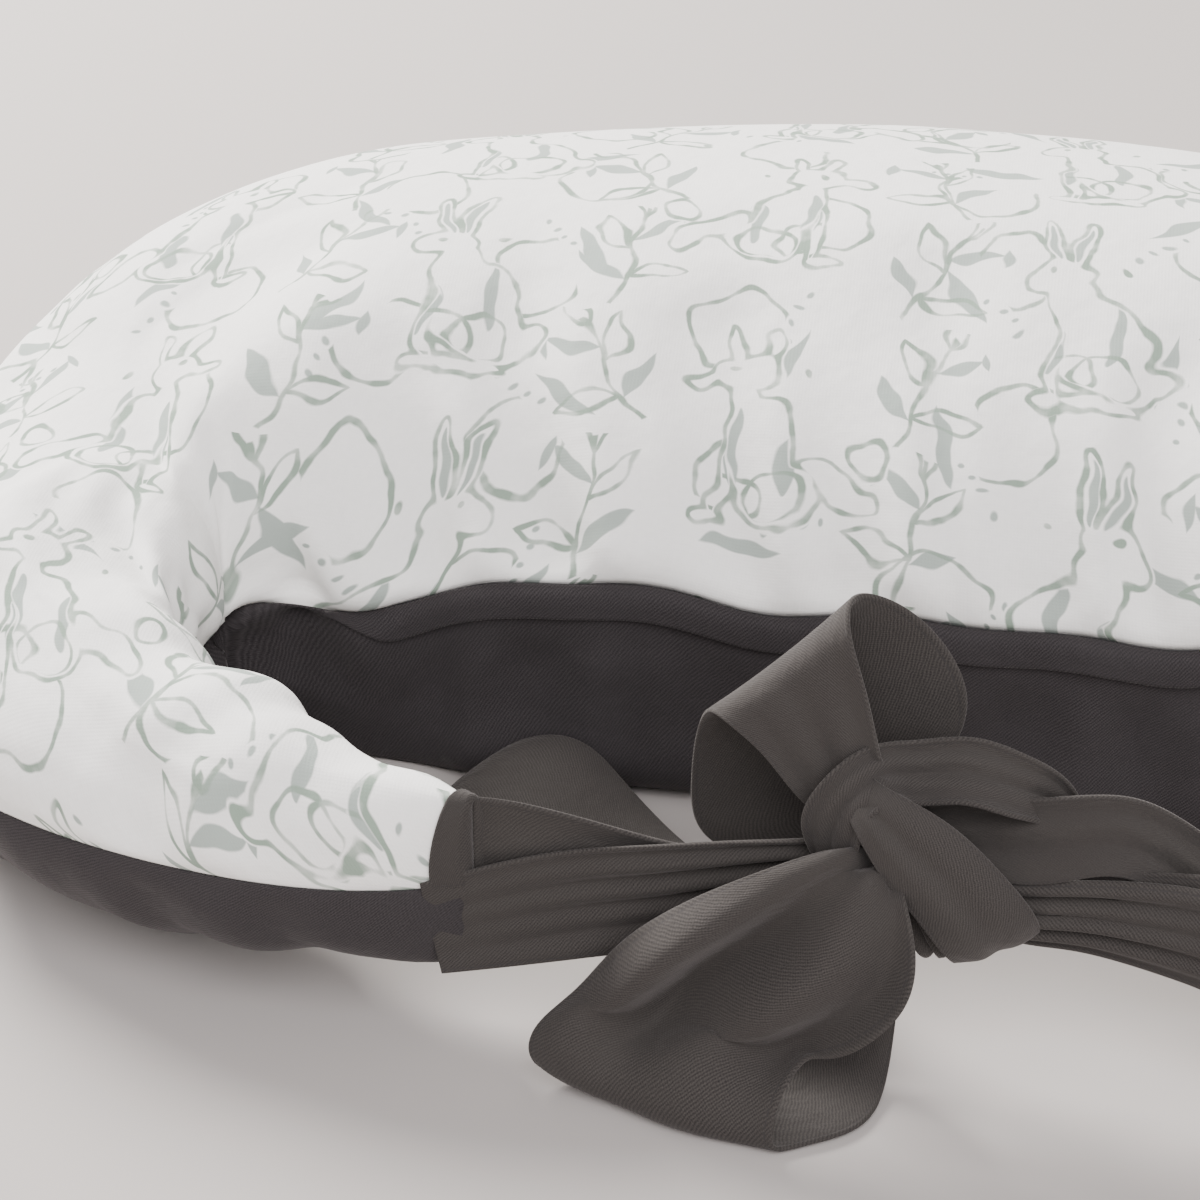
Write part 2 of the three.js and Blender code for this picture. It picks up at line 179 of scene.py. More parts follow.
def grid_mesh(name, grid, cloth, thickness=0.0):
    """A piece from rows and columns of points in millimetres, and their places on the flat cloth."""
    rows, columns = grid.shape[:2]
    flat = np.full((rows * columns, 3), FAR_FROM_HEM, np.float32)
    flat[:, : cloth.shape[-1]] = cloth.reshape(rows * columns, -1) * MM
    faces = quads(rows, columns)[:, [0, 3, 2, 1]].tolist()
    piece = cloth_mesh(name, grid.reshape(-1, 3), faces, flat)
    if thickness:
        shell = piece.modifiers.new("thickness", "SOLIDIFY")
        shell.thickness = thickness * MM
        shell.offset = -1
    return piece


def linear(code):
    """An sRGB hex colour as linear RGBA."""
    rgb = [int(code[i : i + 2], 16) / 255 for i in (1, 3, 5)]
    return [c / 12.92 if c <= 0.04045 else ((c + 0.055) / 1.055) ** 2.4 for c in rgb] + [1.0]


def put(tree, kind, inputs=(), **settings):
    """Adds a node with its settings, and links or sets its inputs."""
    made = tree.nodes.new(kind)
    for key, value in settings.items():
        setattr(made, key, value)
    for key, value in inputs.items() if isinstance(inputs, dict) else enumerate(inputs):
        if isinstance(value, bpy.types.Node):
            value = value.outputs[0]
        if isinstance(value, bpy.types.NodeSocket):
            tree.links.new(value, made.inputs[key])
        else:
            made.inputs[key].default_value = value
    return made


def cloth_material(name):
    """A material with its shader, and the place on the flat cloth in millimetres."""
    material = bpy.data.materials.new(name)
    material.use_nodes = True
    tree = material.node_tree
    place = put(tree, "ShaderNodeAttribute", attribute_name="cloth")
    place = put(tree, "ShaderNodeVectorMath", [place.outputs["Vector"], (1000, 1000, 1000)], operation="MULTIPLY")
    return material, tree, tree.nodes["Principled BSDF"], place


def evened(grid, columns):
    """Spreads each row's points evenly over the cloth."""
    made = np.empty((len(grid), columns, 3))
    share = np.linspace(0, 1, columns)
    for i, row in enumerate(grid):
        run = np.concatenate([[0], np.cumsum(np.linalg.norm(np.diff(row, axis=0), axis=1))])
        for axis in range(3):
            made[i, :, axis] = np.interp(share * run[-1], run, row[:, axis])
    return made


def panel(rows, columns, side, inset=0.0):
    """One panel's points, from horn to horn and from the inner seam to the outer one."""
    steps = math.pi * (1 - np.cos(np.linspace(0, math.pi, 1200))) / 2
    grid = crescent(np.linspace(-HORN_ANGLE, HORN_ANGLE, rows), steps, side, inset)
    return evened(grid, columns)


def run_across(grid):
    """How far each point is from its panel's inner seam, over the cloth."""
    step = np.linalg.norm(np.diff(grid, axis=1), axis=-1)
    return np.concatenate([np.zeros((len(grid), 1)), np.cumsum(step, 1)], 1)


def flat_place(grid, angles):
    """Where a panel's points lie on the flat cloth: true distance across the panel, plan position
    along it."""
    run = run_across(grid)
    _, middle, out, _ = sections(angles)
    return middle[:, None] + out[:, None] * (run - run[:, -1:] / 2)[..., None]


def outward(grid, side):
    """Directions out of the cushion."""
    n = normals_of(grid)
    return n if (n[len(grid) // 2, grid.shape[1] // 2, 2] > 0) == (side > 0) else -n


def beside_zip(grid):
    """The strip of wall that the zip and its facing stiffen."""
    wall = OPENING_MIDDLE + OPENING_BACK + SHIFT
    return (np.abs(grid[..., 1] - wall) < 3) & (grid[..., 2] < SEAM_HEIGHT[0] + 0.5)


def blurred(values, down, across):
    """Evens values out over a number of rows and of columns, which run in a ring."""
    for axis, wide in ((0, down), (1, across)):
        reach = int(3 * wide) + 1
        weight = np.exp(-((np.arange(-reach, reach + 1) / wide) ** 2) / 2)
        edge = [(0, 0)] * values.ndim
        edge[axis] = (reach, reach)
        wider = np.pad(values, edge, mode="edge" if axis == 0 else "wrap")
        values = sum(w * np.take(wider, np.arange(values.shape[axis]) + k, axis)
                     for k, w in enumerate(weight / weight.sum()))
    return values


def blown_up(rows=216, columns=54, cap=7.5, frames=24):
    """How far filling and slack push each point of the two panels: the cover is cut a little larger
    than the cushion, so under pressure it puckers where the seams hold it. The underside lies on the
    floor. Both panels are one closed cloth, simulated with the seams and the underside held."""
    top, bottom = panel(rows, columns, 1), panel(rows, columns, -1)
    ring = np.concatenate([top, bottom[:, -2:0:-1]], 1)
    around = ring.shape[1]
    mesh = bpy.data.meshes.new("trial_cover")
    caps = [list(range(around)), [(rows - 1) * around + n for n in range(around)][::-1]]
    faces = quads(rows, around, closed=True).tolist()
    mesh.from_pydata((ring.reshape(-1, 3) * MM).tolist(), [], faces + caps)
    sorted_faces = bmesh.new()
    sorted_faces.from_mesh(mesh)
    bmesh.ops.recalc_face_normals(sorted_faces, faces=sorted_faces.faces)
    sorted_faces.to_mesh(mesh)
    sorted_faces.free()
    trial = placed("trial_cover", mesh)
    held = np.zeros((rows, around))
    held[:, 0] = held[:, columns - 1] = 1
    held[:3] = held[-3:] = 1
    held[ring[..., 2] < 1.5] = 1
    held[(np.abs(ring[..., 0]) < STRAIGHT_HALF + 6) & (ring[..., 2] > 50) & beside_zip(ring)] = 1
    group = trial.vertex_groups.new(name="held")
    group.add(np.flatnonzero(held.ravel()).tolist(), 1.0, "REPLACE")
    cloth = trial.modifiers.new("cloth", "CLOTH")
    cloth.settings.vertex_group_mass = "held"
    cloth.settings.quality = 5
    cloth.settings.mass = 0.15
    cloth.settings.tension_stiffness = cloth.settings.compression_stiffness = 25
    cloth.settings.shear_stiffness = 8
    cloth.settings.bending_stiffness = 0.12
    cloth.settings.tension_damping = cloth.settings.compression_damping = 8
    cloth.settings.air_damping = 4
    cloth.settings.use_pressure = True
    cloth.settings.uniform_pressure_force = 3
    cloth.settings.shrink_min = cloth.settings.shrink_max = -0.07
    cloth.settings.effector_weights.gravity = 0
    cloth.collision_settings.use_collision = False
    cloth.point_cache.frame_start, cloth.point_cache.frame_end = 1, frames
    for step in range(1, frames + 1):
        bpy.context.scene.frame_set(step)
    result = trial.evaluated_get(bpy.context.evaluated_depsgraph_get()).to_mesh()
    moved = np.empty(len(result.vertices) * 3)
    result.vertices.foreach_get("co", moved)
    moved = moved.reshape(rows, around, 3) / MM - ring
    bpy.context.scene.frame_set(1)
    bpy.data.objects.remove(trial)
    moved = blurred(moved, 1.2, 0.8)
    moved = moved - blurred(moved, 12, 9)  # the folds are kept, the general swelling isn't
    towards_horn = np.abs(np.linspace(-1, 1, rows))[:, None, None]
    moved = moved * (1 - 0.45 * smooth((towards_horn - 0.6) / 0.25))
    far = np.maximum(np.linalg.norm(moved, axis=-1, keepdims=True), 1e-6)
    moved = moved * np.tanh(far / cap) * cap / far
    under = np.concatenate([moved[:, :1], moved[:, :columns - 2:-1]], 1)
    under = under * (0.3 + 0.7 * np.exp(-((np.arange(columns) / columns / 0.35) ** 2)))[None, :, None]
    return {1: moved[:, :columns], -1: under}


def resampled(values, rows, columns):
    """Smoothly finer or coarser rows and columns of the same values."""
    for axis, count in ((0, rows), (1, columns)):
        values = np.moveaxis(values, axis, 0)
        at = np.linspace(0, len(values) - 1, count)
        low = np.clip(at.astype(int), 0, len(values) - 2)
        t = (at - low).reshape(-1, *[1] * (values.ndim - 1))
        a, b = values[np.maximum(low - 1, 0)], values[low]
        c, d = values[low + 1], values[np.minimum(low + 2, len(values) - 1)]
        values = b + 0.5 * t * (c - a + t * (2 * a - 5 * b + 4 * c - d + t * (3 * (b - c) + d - a)))
        values = np.moveaxis(values, 0, axis)
    return values


def ripple(x, waves):
    """A sum of waves (length in millimetres, height, start) along a distance."""
    return sum(high * np.sin(2 * math.pi * x / long + start) for long, high, start in waves)


ROWS, COLUMNS = 470, 115
pushed = blown_up()
panel_angles = np.linspace(-HORN_ANGLE, HORN_ANGLE, ROWS)
inner_line = inner_outline(panel_angles)
seam_run = np.concatenate([[0], np.cumsum(np.linalg.norm(np.diff(inner_line, axis=0), axis=1))])
seam_run = seam_run - seam_run[-1] / 2  # along the inner seam, from the middle of the back wall


def sewn(side):
    """A finished panel: blown up, pulled in beside its seams, and creased where a hand would find it."""
    grid = panel(ROWS, COLUMNS, side)
    flat = flat_place(grid, panel_angles)
    if pushed:
        grid = grid + resampled(pushed[side], ROWS, COLUMNS)
    out = outward(grid, side)
    run = run_across(grid)
    near = np.minimum(run, run[:, -1:] - run)
    along_seam = seam_run[:, None]
    ends = smooth((np.minimum(np.arange(ROWS), np.arange(ROWS)[::-1]) / 12.0))[:, None]
    by_inner = np.exp(-((run / 60) ** 2))
    by_outer = np.exp(-(((run[:, -1:] - run) / 45) ** 2))
    # gathers that run in from the seam, strongest 10 to 40 mm away from it
    lift = smooth(run / 14) * by_inner * ripple(along_seam + 0.12 * run, [
        (47, 2.2, 0.4), (31, 1.5, 2.0), (83, 2.2, 1.1), (19, 0.6, 0.2)])
    lift = lift + smooth((run[:, -1:] - run) / 12) * by_outer * ripple(along_seam * 1.7, [
        (61, 1.2, 0.0), (37, 0.8, 1.4), (24, 0.3, 2.2)])
    # each end of the back wall, where the opening turns the corner, has one deep crease
    for corner in (-1, 1):
        at = along_seam - corner * CREASE_AT - 0.10 * corner * run
        reach = np.exp(-((run / (75 if side > 0 else 60)) ** 2)) * smooth(run / 3 + 0.3)
        beside = 3.5 * np.exp(-(((np.abs(at) - 22) / 11) ** 2))
        lift = lift - reach * 8 * np.exp(-((at / 8) ** 2)) + reach * beside
    if side < 0:
        stiff = smooth((STRAIGHT_HALF + 14 - np.abs(along_seam)) / 16) * (1 - smooth((run - 15) / 14))
        lift = lift * smooth(grid[..., 2] / 14) * (1 - 0.85 * stiff)
    grid = grid + out * (lift * ends * smooth(near / 5))[..., None]
    # the stitches pull both panels in at the seams
    across = grid[:, -1:] - grid[:, :1]
    across = across / np.linalg.norm(across, axis=-1, keepdims=True)
    grid = grid + across * 2.4 * (np.exp(-run / 3.5) - np.exp(-(run[:, -1:] - run) / 3.5))[..., None]
    # the seam itself wanders up and down a little, and dips towards the opening's corners
    wander = ripple(along_seam, [(118, 2.2, 0.7), (63, 1.3, 2.6), (210, 2.0, 4.0)])
    dip = -7 * np.exp(-(((np.abs(along_seam) - DIP_AT) / 34) ** 2))
    grid[..., 2] += ((wander + dip) * np.exp(-((run / 55) ** 2)) * ends) * (
        1 if side > 0 else smooth(grid[..., 2] / 30))
    grid[..., 2] = np.maximum(grid[..., 2], 0.8)
    return closed_ends(grid, flat)


def closed_ends(grid, flat):
    """Brings the panel's edges together at the horns' ends, where the ties are sewn in."""
    middle = grid[:, [0, -1]].mean(1, keepdims=True)
    first, last = [], []
    for share in (0.75, 0.4, 0.02):
        for row, rows in ((0, first), (-1, last)):
            end = grid[row].copy()
            end[:, :2] = middle[row, :, :2] + (end[:, :2] - middle[row, :, :2]) * share
            rows.append((end, flat[row]))
    grid = np.concatenate([[g for g, _ in first[::-1]], grid, [g for g, _ in last]])
    return grid, np.concatenate([[f for _, f in first[::-1]], flat, [f for _, f in last]])


top_grid, top_flat = sewn(1)
top_panel = grid_mesh("cover_top", top_grid, top_flat, 0.8)

# Cotton sheeting: a plain weave, matt and slightly soft. The threads are 0.4 mm apart, drawn at
# 0.8 mm so that they show. The print is thin sage-green pen lines with paler fills.
cotton, tree, shader, place = cloth_material("printed_cotton_sheeting")
WHITE, PEN, WASH = "#f7f5f1", "#889789", "#a0a9a2"


def tiles(tree, place, wide, high, drop):
    """Cuts the cloth into tiles, every second column lowered. Gives the place from each tile's middle
    and the tile's own random colour."""
    apart = put(tree, "ShaderNodeSeparateXYZ", [place])
    column = put(tree, "ShaderNodeMath", [put(
        tree, "ShaderNodeMath", [apart.outputs["X"], wide], operation="DIVIDE")], operation="FLOOR")
    odd = put(tree, "ShaderNodeMath", [column, 2.0], operation="FLOORED_MODULO")
    lowered = put(tree, "ShaderNodeMath", [odd, drop, apart.outputs["Y"]], operation="MULTIPLY_ADD")
    row = put(tree, "ShaderNodeMath", [put(
        tree, "ShaderNodeMath", [lowered, high], operation="DIVIDE")], operation="FLOOR")
    x = put(tree, "ShaderNodeMath", [put(
        tree, "ShaderNodeMath", [column, -wide, apart.outputs["X"]], operation="MULTIPLY_ADD"), wide / 2],
        operation="SUBTRACT")
    y = put(tree, "ShaderNodeMath", [put(
        tree, "ShaderNodeMath", [row, -high, lowered], operation="MULTIPLY_ADD"), high / 2],
        operation="SUBTRACT")
    cell = put(tree, "ShaderNodeCombineXYZ", [column, row, wide])
    chance = put(tree, "ShaderNodeTexWhiteNoise", [cell], noise_dimensions="3D")
    return put(tree, "ShaderNodeCombineXYZ", [x, y, 0.0]), chance.outputs["Color"], odd


def mirrored(tree, local, chance):
    """Turns about half of the tiles' drawings the other way round."""
    side = put(tree, "ShaderNodeMath", [chance, 0.5], operation="GREATER_THAN")
    flip = put(tree, "ShaderNodeMath", [side, -2.0, 1.0], operation="MULTIPLY_ADD")
    return put(tree, "ShaderNodeVectorMath", [
        local, put(tree, "ShaderNodeCombineXYZ", [flip, 1.0, 1.0])], operation="MULTIPLY")


def melted(tree, place, parts, soft):
    """How far a place is from ovals (x, y, half width, half height, lean in degrees) melted together."""
    whole = None
    for x, y, wide, high, lean in parts:
        local = put(tree, "ShaderNodeVectorMath", [place, (x, y, 0)], operation="SUBTRACT")
        if lean:
            local = put(tree, "ShaderNodeVectorRotate", {
                "Vector": local, "Angle": math.radians(lean)}, rotation_type="Z_AXIS")
        near = put(tree, "ShaderNodeVectorMath", [put(
            tree, "ShaderNodeVectorMath", [local, (1 / wide, 1 / high, 0)], operation="MULTIPLY")],
            operation="LENGTH").outputs["Value"]
        far = put(tree, "ShaderNodeVectorMath", [put(
            tree, "ShaderNodeVectorMath", [local, (1 / wide**2, 1 / high**2, 0)], operation="MULTIPLY")],
            operation="LENGTH").outputs["Value"]
        over = put(tree, "ShaderNodeMath", [near, -1.0], operation="ADD")
        over = put(tree, "ShaderNodeMath", [over, near], operation="MULTIPLY")
        over = put(tree, "ShaderNodeMath", [over, far], operation="DIVIDE")
        whole = over if whole is None else put(
            tree, "ShaderNodeMath", [whole, over, soft], operation="SMOOTH_MIN")
    return whole


def leaf(tree, place, x, y, turn, length, wide):
    """How far a place is from a pointed leaf that grows from (x, y) in the direction turn."""
    local = put(tree, "ShaderNodeVectorMath", [place, (x, y, 0)], operation="SUBTRACT")
    local = put(tree, "ShaderNodeVectorRotate", {
        "Vector": local, "Angle": math.radians(-turn)}, rotation_type="Z_AXIS")
    apart = put(tree, "ShaderNodeSeparateXYZ", [local])
    on = put(tree, "ShaderNodeMath", [apart.outputs["X"], math.pi / length], operation="MULTIPLY")
    inside = put(tree, "ShaderNodeClamp", {"Value": on, "Min": 0.0, "Max": math.pi})
    past = put(tree, "ShaderNodeMath", [put(
        tree, "ShaderNodeMath", [on, inside], operation="SUBTRACT")], operation="ABSOLUTE")
    edge = put(tree, "ShaderNodeMath", [put(
        tree, "ShaderNodeMath", [inside], operation="SINE"), -wide / 2], operation="MULTIPLY")
    off = put(tree, "ShaderNodeMath", [apart.outputs["Y"]], operation="ABSOLUTE")
    off = put(tree, "ShaderNodeMath", [off, edge], operation="ADD")
    return put(tree, "ShaderNodeMath", [past, length / 3, off], operation="MULTIPLY_ADD")


def closest(tree, shapes):
    """The nearest of several shapes."""
    best = shapes[0]
    for shape in shapes[1:]:
        best = put(tree, "ShaderNodeMath", [best, shape], operation="MINIMUM")
    return best


# a pen wobbles by about a millimetre
wobble = put(tree, "ShaderNodeTexNoise", {"Vector": place, "Scale": 0.06, "Detail": 1.0}, noise_dimensions="2D")
wobble = put(tree, "ShaderNodeVectorMath", [wobble.outputs["Color"], (0.5, 0.5, 0.5)], operation="SUBTRACT")
page = put(tree, "ShaderNodeVectorMath", [wobble, (9, 9, 0), place], operation="MULTIPLY_ADD")

# plain woodland animals of no particular make: a sitting hare and a sitting fox, 70 mm high
tile, chance, odd = tiles(tree, page, 96.0, 92.0, 46.0)
animal = mirrored(tree, tile, chance)
hare = melted(tree, animal, [
    (-5, -13, 14, 17, 12), (-9, -22, 13, 10, 0), (4, 0, 8, 15, 12), (10, 15, 10, 7, 14), (17, 12, 4, 4, 0),
    (3, 31, 3.2, 12, -6), (12, 30, 3.0, 12, 16), (9, -21, 2.8, 13, 0), (12, -33, 5, 2.2, 0),
    (-3, -33, 11, 2.4, 0), (-23, -22, 4.5, 4.5, 0)], 3.0)
fox = melted(tree, animal, [
    (2, -10, 10, 18, -8), (7, -22, 12, 10, 0), (-5, 0, 6, 13, 0), (-6, 17, 9, 6.5, 0), (-17, 14, 7, 2.4, -8),
    (-10, 27, 2.4, 6, -8), (0, 27, 2.4, 6, 10), (-9, -21, 2.4, 13, 0), (-12, -33, 5, 2.2, 0),
    (25, -20, 14, 5, 38), (34, -10, 5, 6, 0)], 2.4)
body = put(tree, "ShaderNodeMix", {0: odd, 2: hare, 3: fox})
limbs = closest(tree, [
    put(tree, "ShaderNodeMath", [melted(tree, animal, [shape], 1.0)], operation="ABSOLUTE")
    for shape in [(-6, -23, 9, 8, 0), (6, -23, 9, 8, 0)]])
eyes = melted(tree, animal, [(12, 17, 0.9, 0.9, 0), (-9, 19, 0.9, 0.9, 0)], 0.1)
soft_parts = melted(tree, animal, [
    (3.4, 31, 1.5, 9, -6), (12, 30, 1.4, 9, 16), (10, -14, 2.4, 9, 0), (-7, -8, 2.4, 11, 0)], 0.1)

# leaf sprigs between them, each turned its own way; some leaves are left as outlines
aside = put(tree, "ShaderNodeVectorMath", [page, (48, 9, 0)], operation="ADD")
tile, chance, _ = tiles(tree, aside, 96.0, 46.0, 0.0)
lean = put(tree, "ShaderNodeSeparateColor", [chance])
sprig = mirrored(tree, put(tree, "ShaderNodeVectorRotate", {
    "Vector": tile, "Angle": put(tree, "ShaderNodeMath", [lean.outputs["Green"], 1.9, -0.9],
                                 operation="MULTIPLY_ADD")}, rotation_type="Z_AXIS"), chance)
bow = put(tree, "ShaderNodeSeparateXYZ", [sprig])
stem = put(tree, "ShaderNodeMath", [put(
    tree, "ShaderNodeMath", [bow.outputs["Y"], 0.09], operation="MULTIPLY")], operation="SINE")
stem = put(tree, "ShaderNodeMath", [stem, -4.0, bow.outputs["X"]], operation="MULTIPLY_ADD")
stem = put(tree, "ShaderNodeMath", [stem], operation="ABSOLUTE")
reach = put(tree, "ShaderNodeMath", [bow.outputs["Y"]], operation="ABSOLUTE")
reach = put(tree, "ShaderNodeMath", [reach, -21.0], operation="ADD")
stem = put(tree, "ShaderNodeMath", [stem, reach], operation="MAXIMUM")
open_leaves = closest(tree, [
    leaf(tree, sprig, -3, -10, 152, 20, 7), leaf(tree, sprig, 1, 1, 40, 19, 7), leaf(tree, sprig, 4, 17, 84, 15, 6)])
full_leaves = closest(tree, [
    leaf(tree, sprig, -3, -12, 22, 19, 6), leaf(tree, sprig, 2, 6, 128, 18, 5.5),
    leaf(tree, sprig, -13, 15, 60, 10, 3.5)])
outline = put(tree, "ShaderNodeMath", [open_leaves], operation="ABSOLUTE")

# long single leaves, curls and trails of dots in the gaps that are left
aside = put(tree, "ShaderNodeVectorMath", [page, (17, 31, 0)], operation="ADD")
tile, chance, _ = tiles(tree, aside, 64.0, 58.0, 29.0)
turned = put(tree, "ShaderNodeSeparateColor", [chance])
stray = put(tree, "ShaderNodeVectorRotate", {
    "Vector": tile, "Angle": put(tree, "ShaderNodeMath", [turned.outputs["Red"], 6.28], operation="MULTIPLY")},
    rotation_type="Z_AXIS")
single = leaf(tree, stray, -14, 6, 8, 26, 6)
curl = put(tree, "ShaderNodeMath", [melted(tree, stray, [(2, -12, 16, 13, 20)], 1.0)], operation="ABSOLUTE")
cut = put(tree, "ShaderNodeSeparateXYZ", [stray])
curl = put(tree, "ShaderNodeMath", [curl, put(
    tree, "ShaderNodeMath", [cut.outputs["Y"], 4.0], operation="ADD")], operation="MAXIMUM")
dots = melted(tree, stray, [(-22 + 5.5 * k, -3 + 0.5 * k * k, 1.0, 1.3, 0) for k in range(4)], 0.1)

# pen lines are about 1 to 2 mm wide; the animals stand in front of the leaves
pressure = put(tree, "ShaderNodeTexNoise", {"Vector": place, "Scale": 0.11, "Detail": 2.0}, noise_dimensions="2D")
nib = put(tree, "ShaderNodeMath", [pressure.outputs["Fac"], 1.5, 0.06], operation="MULTIPLY_ADD")
clear = put(tree, "ShaderNodeMath", [1.6, body], operation="SUBTRACT")
body_line = put(tree, "ShaderNodeMath", [body], operation="ABSOLUTE")
inner = put(tree, "ShaderNodeMath", [limbs, put(
    tree, "ShaderNodeMath", [body, 2.5], operation="ADD")], operation="MAXIMUM")
behind = put(tree, "ShaderNodeMath", [closest(tree, [outline, stem, curl]), clear], operation="MAXIMUM")
pen = closest(tree, [body_line, inner, behind, put(
    tree, "ShaderNodeMath", [eyes, 0.3], operation="ADD")])
pen = put(tree, "ShaderNodeMath", [nib, pen], operation="SUBTRACT")
pen = put(tree, "ShaderNodeMapRange", {"Value": pen, "From Min": -0.25, "From Max": 0.3})
wash = put(tree, "ShaderNodeMath", [closest(tree, [full_leaves, single, dots]), clear], operation="MAXIMUM")
wash = closest(tree, [wash, put(
    tree, "ShaderNodeMath", [soft_parts, put(tree, "ShaderNodeMath", [body, 1.2], operation="ADD")],
    operation="MAXIMUM")])
wash = put(tree, "ShaderNodeMapRange", {"Value": wash, "From Min": 0.25, "From Max": -0.35})
tint = put(tree, "ShaderNodeMath", [pressure.outputs["Fac"], 1.5, 0.1], operation="MULTIPLY_ADD", use_clamp=True)
pen = put(tree, "ShaderNodeMath", [pen, tint], operation="MULTIPLY")

warp = put(tree, "ShaderNodeTexWave", {"Vector": place, "Scale": 0.31, "Distortion": 0.6},
           wave_type="BANDS", bands_direction="X")
weft = put(tree, "ShaderNodeTexWave", {"Vector": place, "Scale": 0.31, "Distortion": 0.6},
           wave_type="BANDS", bands_direction="Y")
weave = put(tree, "ShaderNodeMath", [warp.outputs["Fac"], weft.outputs["Fac"]], operation="MULTIPLY")
slub = put(tree, "ShaderNodeTexNoise", {"Vector": place, "Scale": 0.5, "Detail": 3.0}, noise_dimensions="2D")
cloth_white = put(tree, "ShaderNodeMix", {
    0: slub.outputs["Fac"], 6: linear("#f0eeea"), 7: linear(WHITE)}, data_type="RGBA")
print_wash = put(tree, "ShaderNodeMix", {
    0: wash, 6: cloth_white.outputs[2], 7: linear(WASH)}, data_type="RGBA")
print_pen = put(tree, "ShaderNodeMix", {
    0: pen, 6: print_wash.outputs[2], 7: linear(PEN)}, data_type="RGBA")
tree.links.new(print_pen.outputs[2], shader.inputs["Base Color"])
threads = put(tree, "ShaderNodeBump", {"Strength": 0.25, "Distance": 0.00015, "Height": weave})
crumple = put(tree, "ShaderNodeTexNoise", {"Vector": place, "Scale": 0.045, "Detail": 3.0}, noise_dimensions="2D")
creased = put(tree, "ShaderNodeBump", {
    "Strength": 0.35, "Distance": 0.003, "Height": crumple.outputs["Fac"], "Normal": threads})
tree.links.new(creased.outputs["Normal"], shader.inputs["Normal"])
shader.inputs["Roughness"].default_value = 0.82
shader.inputs["Sheen Weight"].default_value = 0.12
shader.inputs["Sheen Roughness"].default_value = 0.5
shader.inputs["Specular IOR Level"].default_value = 0.25
top_panel.data.materials.append(cotton)
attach(top_panel, "pillow")
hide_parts("cover_top_panel")


# ---- cover, bottom panel ----
# Charcoal cotton twill, cut to the same crescent as the top panel. It makes the lower wall all round and lies flat
# underneath. Its colours are painted darker than the ties' copy of the same twill: painted shade for the wall under
# the crown's overhang.
bottom_grid, bottom_flat = sewn(-1)
wall_run = run_across(bottom_grid)
foot = np.exp(-(((bottom_grid[..., 2] - 8) / 15) ** 2)) * smooth((110 - wall_run) / 50)
foot = foot * smooth((STRAIGHT_HALF + 45 - np.abs(bottom_grid[..., 0])) / 60) * (bottom_grid[..., 1] > -90)
bottom_grid[..., 1] -= 9 * foot  # the filling rests in the wall's foot and rounds it
bottom_panel = grid_mesh("cover_bottom", bottom_grid, bottom_flat, 0.8)
# Brushed cotton twill: steep diagonal ribs 0.9 mm apart that catch the light, a soft dry surface,
# and pale fibre ends standing out of it. A faint line of stitches runs 2 mm inside a tie's edges.
twill, tree, shader, place = cloth_material("charcoal_twill_painted_shade")
apart = put(tree, "ShaderNodeSeparateXYZ", [place])
drift = put(tree, "ShaderNodeTexNoise", {"Vector": place, "Scale": 0.35, "Detail": 2.0}, noise_dimensions="2D")
slant = put(tree, "ShaderNodeVectorMath", [place, (0.72 / 0.9, 0.69 / 0.9, 0)], operation="DOT_PRODUCT")
slant = put(tree, "ShaderNodeMath", [drift.outputs["Fac"], 0.9, slant.outputs["Value"]], operation="MULTIPLY_ADD")
rib = put(tree, "ShaderNodeMath", [slant, 0.5], operation="PINGPONG")
pick = put(tree, "ShaderNodeVectorMath", [place, (-1.1, 1.1, 0)], operation="DOT_PRODUCT")
pick = put(tree, "ShaderNodeMath", [pick.outputs["Value"], 0.5], operation="PINGPONG")
rib = put(tree, "ShaderNodeMath", [pick, 0.4, rib], operation="MULTIPLY_ADD")
lint = put(tree, "ShaderNodeTexNoise", {"Vector": place, "Scale": 2.6, "Detail": 3.0}, noise_dimensions="2D")
fade = put(tree, "ShaderNodeTexNoise", {"Vector": place, "Scale": 0.03, "Detail": 3.0}, noise_dimensions="2D")
light = put(tree, "ShaderNodeMath", [rib, 1.0, lint.outputs["Fac"]], operation="MULTIPLY_ADD")
light = put(tree, "ShaderNodeMapRange", {"Value": light, "From Min": 0.35, "From Max": 1.35})
# painted shade: the twill's own charcoal, darkened past the ties' copy of it, for the lower wall in the shadow of
# the crown
ribbed = put(tree, "ShaderNodeMix", {
    0: light, 6: linear("#1b1819"), 7: linear("#3f3b3c")}, data_type="RGBA")
worn = put(tree, "ShaderNodeMapRange", {"Value": fade.outputs["Fac"], "From Min": 0.35, "From Max": 0.75,
                                        "To Max": 0.35})
faded = put(tree, "ShaderNodeMix", {
    0: worn, 6: ribbed.outputs[2], 7: linear("#353233")}, data_type="RGBA")
row = put(tree, "ShaderNodeMath", [apart.outputs["Z"], 2.0], operation="SUBTRACT")
row = put(tree, "ShaderNodeMath", [put(tree, "ShaderNodeMath", [row], operation="ABSOLUTE"), 0.26],
          operation="LESS_THAN")
stitch = put(tree, "ShaderNodeMath", [apart.outputs["Y"], 2.8], operation="FLOORED_MODULO")
stitch = put(tree, "ShaderNodeMath", [stitch, 2.1], operation="LESS_THAN")
stitch = put(tree, "ShaderNodeMath", [stitch, row], operation="MULTIPLY")
sewn_line = put(tree, "ShaderNodeMix", {
    0: stitch, 6: faded.outputs[2], 7: linear("#2e292a")}, data_type="RGBA")
tree.links.new(sewn_line.outputs[2], shader.inputs["Base Color"])
raised = put(tree, "ShaderNodeMath", [stitch, 0.8, rib], operation="MULTIPLY_ADD")
ribs = put(tree, "ShaderNodeBump", {"Strength": 0.55, "Distance": 0.0003, "Height": raised})
soft = put(tree, "ShaderNodeTexNoise", {"Vector": place, "Scale": 0.09, "Detail": 3.0}, noise_dimensions="2D")
crumpled = put(tree, "ShaderNodeBump", {
    "Strength": 0.4, "Distance": 0.0022, "Height": soft.outputs["Fac"], "Normal": ribs})
